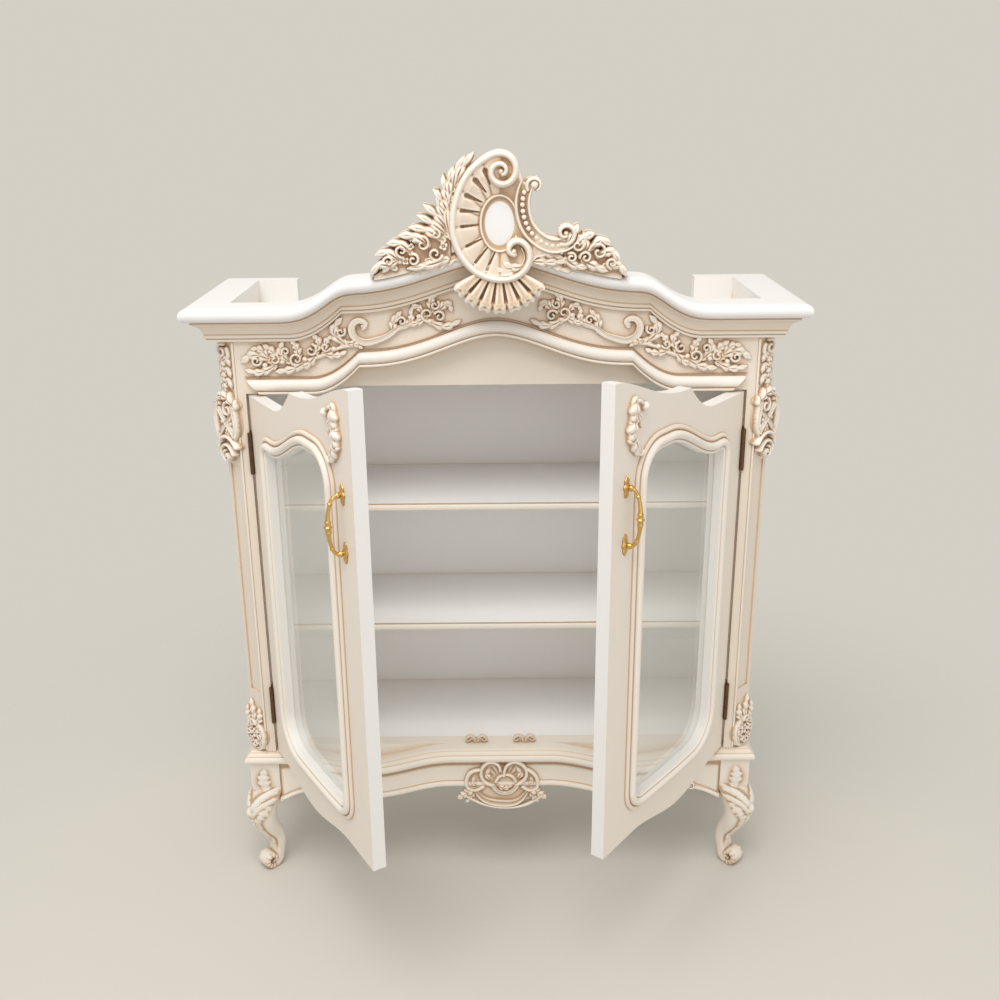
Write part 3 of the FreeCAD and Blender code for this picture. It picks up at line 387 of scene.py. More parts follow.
def blurred(field, reach):
    """Mean over a square of 2 * reach + 1 cells, taken twice, by running sums."""
    for _ in range(2):
        for axis in (0, 1):
            pad = [(0, 0), (0, 0)]
            pad[axis] = (reach + 1, reach)
            sums = np.cumsum(np.pad(field, pad, mode="edge"), axis=axis)
            length = field.shape[axis]
            upper = np.take(sums, np.arange(2 * reach + 1, 2 * reach + 1 + length), axis=axis)
            lower = np.take(sums, np.arange(length), axis=axis)
            field = (upper - lower) / (2 * reach + 1)
    return field


class Relief:
    """Carving over an upright grid of x and z.

    Each stroke gives a height and the distance inside its own edge. The field keeps the highest height and
    the widest cover, and the line where the cover is zero is the carving's outline.
    """

    def __init__(self, low, high, step=1.0):
        self.step = step
        self.wash = 0.3
        self.x = np.arange(low[0], high[0] + step, step)
        self.z = np.arange(low[1], high[1] + step, step)
        shape = len(self.x), len(self.z)
        self.height = np.full(shape, SUNK)
        self.cover = np.full(shape, -9.0)

    def window(self, low, high):
        """Part of the grid between two corners, with its x down the rows and its z along the columns."""
        spans = []
        for axis, a, b in ((self.x, low[0], high[0]), (self.z, low[1], high[1])):
            first, last = np.searchsorted(axis, (a, b))
            spans.append(slice(max(first - 2, 0), last + 2))
        part = tuple(spans)
        return part, self.x[part[0]][:, None], self.z[part[1]][None, :]

    def lay(self, part, height, cover):
        """Add a stroke: the higher of old and new where it covers, and the wider cover."""
        self.height[part] = np.maximum(self.height[part], np.where(cover > 0, height, SUNK))
        self.cover[part] = np.maximum(self.cover[part], cover)
        return self

    def sink(self, part, depth):
        """Lower what is carved so far by a depth, down to a thin ground."""
        before = self.height[part]
        self.height[part] = np.where(before > SUNK, np.maximum(before - depth, 0.2), SUNK)
        return self

    def along(self, path, reach):
        """Window round a path, with each cell's place along it, signed distance and distance.

        The path's nearest point gives them, and the sign is positive on the path's left.
        """
        part, x, z = self.window(path.min(0) - reach, path.max(0) + reach)
        gap = (x[:, :, None] - path[:, 0]) ** 2 + (z[:, :, None] - path[:, 1]) ** 2
        near = gap.argmin(-1)
        far = np.sqrt(gap.min(-1))
        ahead = np.gradient(path, axis=0)
        left = ahead[near, 0] * (z - path[near, 1]) - ahead[near, 1] * (x - path[near, 0])
        return part, near / (len(path) - 1), np.where(left < 0, -far, far), far

    def band(self, points, half, rise, section=bow, base=0.0):
        """Scroll band: a section carried along a smooth line.

        Its width and its rise may change along the line.
        """
        path = curve(points, self.step * 0.8)
        t = np.linspace(0, 1, 50)
        reach = float(np.max(at(half, t)))
        part, t, across, far = self.along(path, reach)
        wide = np.maximum(at(half, t), 0.2)
        return self.lay(part, base + at(rise, t) * section(across / wide), wide - far)

    def beads(self, points, radius, count, base=0.0):
        """Row of half balls, evenly spaced along a smooth line."""
        path = curve(points)
        for share in np.linspace(0.04, 0.96, count):
            self.bead(path[int(share * (len(path) - 1))], radius, radius, base)
        return self

    def bead(self, centre, radius, rise, base=0.0):
        """Half ball: a half round of the distance from its centre."""
        part, x, z = self.window(np.subtract(centre, radius), np.add(centre, radius))
        far = np.hypot(x - centre[0], z - centre[1])
        return self.lay(part, base + rise * bow(far / radius), radius - far)

    def leaf(self, points, half, rise, lobes=4, cut=0.38, base=0.0):
        """Acanthus leaf: lobes lean towards the tip, each crowned, with a gouged midrib."""
        path = curve(points, self.step * 0.8)
        part, t, across, far = self.along(path, half * 1.1)
        out = far / half
        phase = lobes * (t - 0.3 * out * (1 - t))
        tooth = 1 - cut * np.abs(np.cos(np.pi * phase)) ** 2.0 * smooth((1.08 - t) * 5)
        body = np.sin(np.pi * np.clip(0.10 + 0.90 * t, 0, 1) ** 0.8) ** 0.55
        wide = np.maximum(half * body * tooth, 0.3)
        q = np.clip(far / wide, 0, 1)
        crest = 0.62 + 0.38 * np.abs(np.sin(np.pi * phase)) ** 0.8
        swell = 0.6 + 0.4 * np.sin(np.pi * np.clip(t * 0.9 + 0.12, 0, 1))
        rib = np.exp(-(across / (0.13 * half)) ** 2) * np.clip(1.2 - t, 0, 1)
        height = rise * swell * bow(q ** 1.4) * (1 - (1 - crest) * smooth(q * 2.2)) - 0.34 * rise * rib
        return self.lay(part, base + np.maximum(height, 0.3), wide - far)

    def leaves(self, strokes, rise, lobes, cut, base=0.0):
        """Leaves of one kind, each given by three points of its midrib and its half width."""
        for *points, half in strokes:
            self.leaf(points, half, rise, lobes, cut, base)

    def curls(self, strokes, inner, sweep, half, rise, count):
        """Volutes of one kind, each given by its centre, outer radius and first bearing."""
        for centre, radius, first in strokes:
            self.band(spiral(centre, (inner, radius), (first, first + sweep), count), half, rise)

    def flower(self, centre, radius, rise, petals=5, turn=0.0, base=0.0):
        """Open flower: cupped petals round a button, parted by fine cuts."""
        part, x, z = self.window(np.subtract(centre, radius), np.add(centre, radius))
        far = np.hypot(x - centre[0], z - centre[1])
        lobe = np.abs(np.cos(petals * (np.arctan2(z - centre[1], x - centre[0]) - turn) / 2))
        edge = radius * (0.66 + 0.34 * lobe ** 0.7)
        q = np.clip(far / edge, 0, 1)
        petal = (0.35 + 0.65 * smooth(q * 1.25)) * bow(q ** 3) * (0.62 + 0.38 * lobe ** 0.5)
        button = 0.85 * bow(far / (0.27 * radius))
        return self.lay(part, base + rise * np.maximum(petal, button), edge - far)

    def shield(self, outline, height):
        """Flat or shaped field inside a closed outline; height is a number or a function of x and z."""
        ring = np.asarray(outline, float)
        part, x, z = self.window(ring.min(0), ring.max(0))
        after = np.roll(ring, -1, axis=0)
        edge = after - ring
        shift_x = x[:, :, None] - ring[:, 0]
        shift_z = z[:, :, None] - ring[:, 1]
        share = np.clip((shift_x * edge[:, 0] + shift_z * edge[:, 1]) / (edge ** 2).sum(1), 0, 1)
        far = np.hypot(shift_x - share * edge[:, 0], shift_z - share * edge[:, 1]).min(-1)
        level = (ring[:, 1] > z[:, :, None]) != (after[:, 1] > z[:, :, None])
        climb = np.where(np.abs(edge[:, 1]) < 1e-9, 1e-9, edge[:, 1])
        cross = ring[:, 0] + shift_z / climb * edge[:, 0]
        inside = (level & (x[:, :, None] < cross)).sum(-1) % 2 == 1
        rise = height(x, z) if callable(height) else height
        return self.lay(part, rise + 0 * far, np.where(inside, far, -far))

    def groove(self, points, half, depth):
        """Gouge: a half round carried along a smooth line and taken off what is carved so far."""
        path = curve(points, self.step * 0.8)
        part, t, across, far = self.along(path, np.max(half))
        wide = at(half, t)
        return self.sink(part, depth * bow(far / wide) * (far < wide))

    def read(self, x, z):
        """Height at any points of the field, straight between the grid's."""
        i = np.clip((x - self.x[0]) / self.step, 0, len(self.x) - 1.001)
        j = np.clip((z - self.z[0]) / self.step, 0, len(self.z) - 1.001)
        a, b = i.astype(int), j.astype(int)
        u, v = i - a, j - b
        h = np.maximum(self.height, 0)
        low = h[a, b] * (1 - u) + h[a + 1, b] * u
        high = h[a, b + 1] * (1 - u) + h[a + 1, b + 1] * u
        return low * (1 - v) + high * v

    def glaze_and_shade(self):
        """Glaze that a rubbed-back finish leaves, and the shade painted into the carving's hollows.

        Where the field lies below its own mean, near by and farther off.
        """
        h = np.maximum(self.height, 0)
        fine = (blurred(h, 3) - h) / 1.5
        broad = (blurred(h, 7) - h) / 3.0
        return np.clip(np.maximum(fine, 0.75 * broad) + self.wash, -0.2, 1)

    def piece(self, name, carry, back=SUNK):
        """Closed carving.

        The field in front, a flat back, and walls along an outline drawn to the zero of the cover.
        """
        inside = self.cover > 0
        cell = inside[:-1, :-1] | inside[1:, :-1] | inside[1:, 1:] | inside[:-1, 1:]
        slope_x, slope_z = np.gradient(self.cover, self.step)
        size = np.maximum(slope_x ** 2 + slope_z ** 2, 0.3)
        move = np.where(inside, 0, np.clip(self.cover, -1.5 * self.step, 0)) / size
        x = self.x[:, None] - slope_x * move
        z = self.z[None, :] - slope_z * move
        h = np.where(inside, self.height, 0.0)
        quads = lattice(*inside.shape).reshape(*cell.shape, 4)[cell]
        used, quads = np.unique(quads, return_inverse=True)
        quads = quads.reshape(-1, 4)
        count = len(used)
        start = quads.ravel()
        stop = np.roll(quads, -1, axis=1).ravel()
        forward = start * count + stop
        rim = ~np.isin(forward, stop * count + start)
        a, b = start[rim], stop[rim]
        walls = np.stack([b, a, a + count, b + count], -1)
        faces = np.concatenate([quads, quads[:, ::-1] + count, walls])
        x, z, h = x.ravel()[used], z.ravel()[used], h.ravel()[used]
        front = carry(x, h, z)
        rear = carry(x, np.full(count, float(back)), z)
        tone = self.glaze_and_shade().ravel()[used]
        tone = np.concatenate([tone, np.zeros(count)])
        return skin(name, np.concatenate([front, rear]), faces, tone, 62.0)


# Shader building
class Pin:
    """An output socket whose arithmetic adds Math nodes."""

    def __init__(self, maker, node, socket):
        self.maker, self.node, self.socket = maker, node, socket

    def out(self, name):
        """Another output of the same node."""
        return Pin(self.maker, self.node, self.node.outputs[name])

    def math(self, operation, first, second):
        """Math node over two sockets or numbers."""
        return self.maker.add("ShaderNodeMath", {"operation": operation}, {0: first, 1: second})

    def __add__(self, other):
        return self.math("ADD", self, other)

    def __radd__(self, other):
        return self.math("ADD", other, self)

    def __sub__(self, other):
        return self.math("SUBTRACT", self, other)

    def __rsub__(self, other):
        return self.math("SUBTRACT", other, self)

    def __mul__(self, other):
        return self.math("MULTIPLY", self, other)

    def __rmul__(self, other):
        return self.math("MULTIPLY", other, self)

    def __truediv__(self, other):
        return self.math("DIVIDE", self, other)

    def __pow__(self, other):
        return self.math("POWER", self, other)

    def clip(self):
        """The value held between 0 and 1."""
        return self.maker.add("ShaderNodeClamp", {}, {"Value": self})


class Shader:
    """A material, or the world, and its node tree."""

    def __init__(self, owner):
        owner.use_nodes = True
        self.owner = owner
        self.tree = owner.node_tree
        self.tree.nodes.clear()

    def add(self, kind, options, sockets):
        """New node: its settings first, then the values or links of its sockets, by name or number."""
        node = self.tree.nodes.new(kind)
        for key, value in options.items():
            setattr(node, key, value)
        for key, value in sockets.items():
            if isinstance(value, Pin):
                self.tree.links.new(value.socket, node.inputs[key])
            else:
                node.inputs[key].default_value = value
        return Pin(self, node, node.outputs[0] if node.outputs else None)

    def place(self):
        """Object coordinates."""
        return self.add("ShaderNodeTexCoord", {}, {}).out("Object")

    def noise(self, place, scale, detail, rough=0.5):
        """Cloudy pattern over a place."""
        return self.add("ShaderNodeTexNoise", {}, {
            "Vector": place, "Scale": scale, "Detail": detail, "Roughness": rough})

    def stretched(self, place, scale):
        """A place scaled by its own amount along each direction."""
        return self.add("ShaderNodeMapping", {}, {"Vector": place, "Scale": scale})

    def mix(self, share, first, second):
        """Blend of two colours."""
        mixed = self.add("ShaderNodeMix", {"data_type": "RGBA"}, {0: share, 6: first, 7: second})
        return Pin(self, mixed.node, mixed.node.outputs[2])

    def bump(self, height, strength, distance):
        """Normal tipped by the slope of a height."""
        return self.add("ShaderNodeBump", {}, {"Height": height, "Strength": strength, "Distance": distance})

    def surface(self, shader):
        """Close the tree with a surface, and give its material."""
        self.add("ShaderNodeOutputMaterial", {}, {"Surface": shader})
        return self.owner


def rgba(colour):
    """Colour with full alpha."""
    return (*colour, 1.0)


def new_shader(name):
    """Node tree of a new material."""
    return Shader(bpy.data.materials.new(name))


# Finishes
def painted(name, colour, glaze_and_shade_amount, seam=0.026):
    """Hand-painted wood: brushed paint, tan glaze and painted shade in hollows and seams, whiter on rubbed
    faces.
    """
    look = settings("cabinet_finish")
    s = new_shader(name)
    place = s.place()
    cloud = s.noise(place, 7.0, 3.0)
    grit = s.noise(place, 120.0, 4.0, 0.65)
    brush = s.noise(s.stretched(place, (34.0, 34.0, 420.0)), 1.0, 3.0, 0.6)
    held = s.add("ShaderNodeAttribute", {"attribute_name": "glaze_and_shade"}, {}).out("Fac")
    # Painted shade: ambient occlusion over a short reach finds seams and inner corners, over a long reach
    # broad recesses
    shut = s.add("ShaderNodeAmbientOcclusion", {"samples": 8}, {"Distance": seam}).out("AO")
    deep_shut = s.add("ShaderNodeAmbientOcclusion", {"samples": 6}, {"Distance": seam * 4}).out("AO")
    corner = ((0.86 - shut) * 1.4).clip() * (0.4 + 0.7 * grit)
    soft = ((0.88 - deep_shut) * 0.9).clip() * 0.42
    # Tan share: glaze and painted shade held in the carvings' hollows, plus the painted seam and recess shade
    hollow = (held * 1.1 + corner + soft).clip() * glaze_and_shade_amount
    rubbed = ((-0.3 - held) * 1.5).clip() * 0.9
    dull = tuple(c * f for c, f in zip(colour, (0.965, 0.945, 0.91)))
    tint = s.mix((cloud - 0.35).clip() * 0.5, rgba(colour), rgba(dull))
    pale = s.mix(rubbed, tint, rgba(look.rubbed))
    tan = s.mix(hollow ** 0.85, pale, rgba(look.glaze_and_shade))
    # Dark brown where the tan share is highest: deep glaze and painted shade in the deepest hollows
    deep = s.mix(((hollow - 0.62) * 2.2).clip() * 0.8, tan, rgba(look.deep_glaze_and_shade))
    rough = 0.36 + 0.14 * cloud + 0.16 * hollow
    bump = s.bump(brush * 0.6 + grit * 0.4, 0.10, 0.0006)
    return s.surface(s.add("ShaderNodeBsdfPrincipled", {}, {
        "Base Color": deep, "Roughness": rough, "Normal": bump, "Specular IOR Level": 0.42}))


def metal(name, colour, dark, roughness, worn):
    """Cast metal: fine unevenness, darker in its hollows."""
    s = new_shader(name)
    place = s.place()
    cloud = s.noise(place, 60.0, 4.0, 0.6)
    cast = s.noise(place, 420.0, 3.0)
    shut = s.add("ShaderNodeAmbientOcclusion", {"samples": 8}, {"Distance": 0.006}).out("AO")
    held = s.add("ShaderNodeAttribute", {"attribute_name": "glaze_and_shade"}, {}).out("Fac")
    hollow = ((0.7 - shut) * 1.6 + held.clip() * 0.8).clip()
    base = s.mix((hollow + (cloud - 0.5) * worn).clip(), rgba(colour), rgba(dark))
    rough = roughness + 0.22 * cloud * worn + 0.2 * hollow
    return s.surface(s.add("ShaderNodeBsdfPrincipled", {}, {
        "Base Color": base, "Roughness": rough, "Metallic": 1.0, "Normal": s.bump(cast, 0.08, 0.0004)}))


def pane(name):
    """Clear sheet glass.

    See-through, with a mirror-like gloss on its outer faces that grows at a slant, and faint dust.
    """
    look = settings("cabinet_finish")
    s = new_shader(name)
    dust = s.noise(s.place(), 9.0, 4.0, 0.6)
    clear = s.add("ShaderNodeBsdfTransparent", {}, {"Color": rgba(look.glass)})
    gloss = s.add("ShaderNodeBsdfPrincipled", {}, {
        "Base Color": (0.96, 0.97, 0.965, 1.0), "Metallic": 1.0, "Roughness": 0.02})
    slant = s.add("ShaderNodeFresnel", {}, {"IOR": 1.45})
    inner = s.add("ShaderNodeNewGeometry", {}, {}).out("Backfacing")
    share = ((0.2 + slant * 1.4 + dust * 0.12) * (1.0 - inner)).clip()
    return s.surface(s.add("ShaderNodeMixShader", {}, {0: share, 1: clear, 2: gloss}))


FINISHES = {}


def mix_finishes():
    """The cabinet's five finishes, by material slot.

    The white takes about a third of the glaze and painted shade, and only in tight seams.
    """
    look = settings("cabinet_finish")
    FINISHES["ivory_paint"] = painted("ivory glazed paint", tuple(look.ivory), look.glaze_and_shade_amount)
    FINISHES["white_paint"] = painted("white paint", tuple(look.white), look.glaze_and_shade_amount * 0.35, 0.01)
    FINISHES["brass"] = metal("polished brass", look.brass, look.brass_hollows, 0.24, 0.5)
    FINISHES["bronze"] = metal("dark bronze", look.bronze, look.bronze_hollows, 0.36, 0.8)
    FINISHES["clear_glass"] = pane("clear glass")


def toned(node, facing, along, aslant):
    """Glaze of a CAD node's faces.

    One value where they look along the given direction or against it, one elsewhere.
    """
    mesh = node.data
    normals = np.empty(len(mesh.polygons) * 3, dtype=np.float32)
    mesh.polygons.foreach_get("normal", normals)
    slant = np.abs(normals.reshape(-1, 3) @ np.asarray(facing, dtype=np.float32))
    layer = mesh.attributes.new("glaze_and_shade", "FLOAT", "FACE")
    layer.data.foreach_set("value", np.where(slant > 0.9, along, aslant).astype(np.float32))


def dress_frame():
    """Procedural finishes on the CAD nodes that stay.

    The doors' edges and the cornice's top are rubbed white.
    """
    rubbed = -0.85
    upright = (0.0, 1.0, 0.0)
    for name, node in NODES.items():
        node.data.materials.clear()
        node.data.materials.append(FINISHES[SLOTS[name]])
    for word, sign in SIDES.items():
        turn = math.radians(OPEN[word]) * sign
        for rail in ("hinge_stile", "meeting_stile", "top_rail", "bottom_rail"):
            toned(NODES[f"{word}_{rail}"], (math.sin(turn), -math.cos(turn), 0.0), 0.06, rubbed)
        toned(NODES[f"{word}_front_post"], upright, 0.12, 0.2)
    for name in ("cornice_rear_returns", "top_board"):
        toned(NODES[name], upright, rubbed, rubbed)
    for name in ("frieze_board", "header_rail"):
        toned(NODES[name], upright, 0.1, 0.0)


# Cornice, frieze moulding, base and shelves
def cornice_section():
    """Cornice section as outward reach, height and glaze.

    It has fillets, a beaded ogee, a groove and the big nose.
    """
    rows = [(-CORNICE_IN, 0, 0), (7, 0, 0.2), (8.6, 1.0, 0.1), (9.0, 5.0, 0.1), (8.2, 5.6, 0.75),
            (8.6, 6.4, 0.75)]
    rows += oval((9.6, 10.0), (3.4, 3.4), (-75, 60), 7, 0.12)
    rows += [(11.0, 13.6, 0.7), (11.8, 14.4, 0.6)]
    rows += oval((31.5, 13.5), (19.0, 19.0), (172, 112), 9, 0.2)
    rows += [(25.6, 32.6, 0.4), (28.5, 33.4, 0.1), (29.6, 35.4, 0.3), (29.4, 36.4, 1.0), (29.2, 38.4, 1.0),
             (31.2, 39.0, 0.8)]
    rows += oval((CORNICE_OUT - NOSE, CORNICE_TALL - NOSE), (NOSE, NOSE), (-90, 90), 15, -0.9)
    rows += [(8, CORNICE_TALL, -0.9), (-CORNICE_IN, CORNICE_TALL, -0.9)]
    return np.array(rows, float)


def eased(rise, x, width, soft):
    """Rise along a run: as it is where soft is 0, its mean over a bell of the given width where soft is 1."""
    offsets = np.linspace(-2.5, 2.5, 41)
    weights = np.exp(-offsets ** 2 / 2)
    mean = (rise(x[:, None] + offsets * width) * weights).sum(1) / weights.sum()
    return rise(x)[:, None] * (1 - soft) + mean[:, None] * soft


def front_run(x, out, z, rise):
    """Run across the front, between corner rows cut on the mitre.

    At each x stands the section, lifted by the rise.
    """
    corner = grid(-HALF - out, -out, z)[None]
    return np.concatenate([corner, grid(x[:, None], -out, z + rise), corner * (-1, 1, 1)])


def side_run(out, inner, z, count, sign):
    """Run along one side, from its mitred front corner straight back.

    Behind the corner the section is kept outside the inner reach.
    """
    stops = np.concatenate([[0.0], np.linspace(0.12, 1, count)])[:, None]
    reach = np.where(stops > 0, np.maximum(out, inner), out)
    return grid(sign * (HALF + reach), -out + (DEPTH + out) * stops, z)


def build_cornice():
    """Cornice along the front and down both sides.

    Its section is carried along the crown, whose cusps soften towards the nose.
    """
    out, up, glaze_and_shade = cornice_section().T
    x = np.linspace(-CROWN_END, CROWN_END, 331)
    rise = eased(crown, x, 15.0, smooth((up - 12) / 24))
    z = CORNICE_LOW + up
    moulding("cornice_front_run", front_run(x, out, z, rise), glaze_and_shade, 40, "cornice_front")
    for word, sign in SIDES.items():
        moulding(f"cornice_{word}_run", side_run(out, -CORNICE_IN, z, 12, sign), glaze_and_shade, 40, f"cornice_{word}")


def build_arch_moulding():
    """Moulding under the frieze, with slanted ends.

    A groove, a broad round and a lower bead are carried along the arch.
    """
    # The top groove's glaze of 0.9 to 1.0 is glaze there and the painted shadow gap under the frieze
    rows = [(0.5, ARCH_TALL, 0.6), (-2.6, ARCH_TALL, 0.9), (-2.4, 30.4, 1.0), (0.2, 30.0, 1.0),
            (0.2, 27.4, 1.0), (-4.2, 26.8, 0.8)]
    rows += oval((-3.0, 15.4), (11.0, 11.4), (104, 200), 11, -0.5)
    rows += oval((-3.0, 15.4), (11.0, 11.4), (210, 236), 4, 0.25)
    rows += [(-8.2, 5.9, 0.85), (-8.0, 5.4, 0.9)]
    rows += oval((-8.4, 2.6), (2.7, 2.7), (96, 262), 7, -0.1)
    rows += [(-6.0, 0.0, 0.2), (0.5, 0.0, 0.0)]
    y, up, glaze_and_shade = np.array(rows, float).T
    slanted, lean = 40, 0.87
    x = np.linspace(-ARCH_END, ARCH_END, 331)
    rise = eased(arch, x, 9.0, smooth(up / ARCH_TALL) * 0.35)
    outer = np.sign(x) * smooth((np.abs(x) - ARCH_END + slanted) / slanted)
    across = x[:, None] - outer[:, None] * (ARCH_TALL - up) * lean
    moulding("arch_moulding_run", grid(across, y, ARCH_LOW + up + rise), glaze_and_shade, 40, "arch_moulding")


def base_section():
    """Base moulding section as reach, height and glaze: a round nose, a fine line and a hollow above it."""
    rows = [(-24.5, 0, 0), (1.5, 0, 0.5)]
    rows += oval((2.0, 9.0), (9.0, 9.0), (-84, 48), 13, -0.3)
    rows += [(7.4, 16.6, 0.7), (6.8, 17.2, 0.75), (6.4, 18.2, 0.2), (4.0, 20.6, 0.1), (2.0, 23.0, 0.1)]
    rows += [(1.2, 24.2, 0.6), (0.4, 25.0, 0.5), (-1.0, 26.4, 0.0), (-3.0, 27.0, 0.0), (-24.5, 27.0, 0.0)]
    return np.array(rows, float)


def build_base():
    """Base moulding along the front and down both sides, and the apron under it.

    Its section is carried along the swagged base line.
    """
    out, up, glaze_and_shade = base_section().T
    x = np.linspace(-BASE_END, BASE_END, 301)
    z = BASE_LOW + up
    moulding("base_front_run", front_run(x, out, z, dip(x)[:, None]), glaze_and_shade, 40, "base_moulding_front")
    for word, sign in SIDES.items():
        moulding(f"base_{word}_run", side_run(out, -16.0, z, 10, sign), glaze_and_shade, 40, f"base_moulding_{word}")
    build_apron()


def build_apron():
    """Apron board sunk along a framing groove, and the rolled lip that follows its lower edge."""
    near = np.array([0.0, 2.0, 5.0, 8.0])
    plain = np.linspace(12 - APRON_END, APRON_END - 12, 240)
    x = np.concatenate([near - APRON_END, plain, (APRON_END - near)[::-1]])
    low, top = apron_edge(x), BASE_LOW + dip(x)
    share = np.array([0, 0.1, 0.18, 0.24, 0.30, 0.5, 0.7, 0.80, 0.86, 0.92, 1.0])
    sunk = np.interp(share, [0, 0.80, 0.86, 0.92, 1], [0, 0, 2.6, 2.6, 0.6])
    side = np.interp(APRON_END - np.abs(x), near, [2.8, 2.8, 0.6, 0.0])
    depth = np.maximum(sunk, side[:, None])
    z = low[:, None] + (top - low)[:, None] * share
    points = np.concatenate([grid(x[:, None], depth, z), grid(x[:, None], 20.0, z)[:, ::-1]], 1)
    # Tan that deepens with the sinking: glaze in the framing groove, and painted shade in it
    glaze_and_shade = np.concatenate([np.clip(depth / 2.4, 0, 1), np.zeros(z.shape)], 1)
    moulding("apron_board", points, glaze_and_shade, 40, "front_apron")
    lip = [(0.8, -1, 0.0), (-2.6, -1, 0.0), (-4.2, 1.0, -0.3), (-4.6, 4.6, -0.4), (-3.4, 8.2, -0.2),
           (-1.8, 9.8, 0.4), (-0.4, 10.8, 1.0), (0.8, 12.6, 1.0)]
    y, up, glaze_and_shade = np.array(lip).T
    x = np.linspace(-APRON_END, APRON_END, 281)[:, None]
    moulding("apron_lip", grid(x, y, apron_edge(x) + up), glaze_and_shade, 50)


def build_shelf_edges():
    """Half-round lipping along the front of each shelf: a fine glazed line over a round, carried across."""
    lip = mm(settings("cabinet_sizes").shelf_lip)
    for name in ("lower_shelf", "upper_shelf"):
        low, high = (np.array(corner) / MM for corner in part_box(name))
        tall = high[2] - low[2]
        radius = 0.42 * tall
        rows = [(1.0, tall, 0.0), (-0.3, tall, 0.9), (-0.6, tall - lip, 0.9)]
        rows += oval((0, radius), (lip, radius), (100, 262), 9, -0.1)
        rows += [(-0.2, 0.0, 0.6), (1.0, 0.0, 0.0)]
        y, up, glaze_and_shade = np.array(rows, float).T
        x = np.linspace(low[0] + 1, high[0] - 1, 40)[:, None]
        moulding(f"{name}_lip", grid(x, low[1] - FRONT_Y + y, low[2] + up), glaze_and_shade, 50)


# Legs
def knee_relief():
    """Knee carving over the leg's breadth and height.

    Bands that fall from both sides to a ball, a leaf below, sprigs above.
    """
    carve = Relief((-44, 50), (44, 262), 1.0)
    for sign in (-1, 1):
        carve.band([(sign * 40, 196), (sign * 30, 190), (sign * 16, 174), (sign * 5, 156)], 6.5, 6.5, stepped)
        carve.band([(sign * 36, 174), (sign * 25, 166), (sign * 13, 150), (sign * 6, 138)], 5.0, 5.5)
        carve.leaf([(sign * 20, 198), (sign * 18, 218), (sign * 20, 244)], 9, 4.5, 3)
        carve.leaf([(sign * 30, 160), (sign * 22, 142), (sign * 14, 122)], 8, 4.0, 3)
        carve.band([(sign * 13, 132), (sign * 11, 100), (sign * 10, 58)], (4.2, 3.2), (5.4, 4.0))
    carve.bead((0, 147), 10, 11)
    carve.leaf([(0, 140), (0, 122), (0, 102)], 11, 7.0, 3)
    return carve


def leg_line():
    """Middle line of a leg in its own plane, its normals, and the length run along it.

    A smooth S-curve from the block down to the ankle goes over into a whorl.
    """
    whorl = spiral((14.5, 20.5), (18.5, 3.0), (172, 650), 46)
    line = [(0, 259), (0, 235), (0, 210), (0, 190), (6, 176), (16, 162), (21, 147), (20, 130), (15, 112),
            (6, 94), (-3, 78), (-7.5, 62), (-7.5, 46), (-5.2, 34)]
    path = np.concatenate([curve(line, 2.0), curve(whorl, 1.6)[1:]])
    ahead = np.gradient(path, axis=0)
    ahead /= np.linalg.norm(ahead, axis=1)[:, None]
    facing = np.stack([-ahead[:, 1], ahead[:, 0]], 1)
    run = np.concatenate([[0.0], np.cumsum(np.linalg.norm(np.diff(path, axis=0), axis=1))])
    return path, facing, run


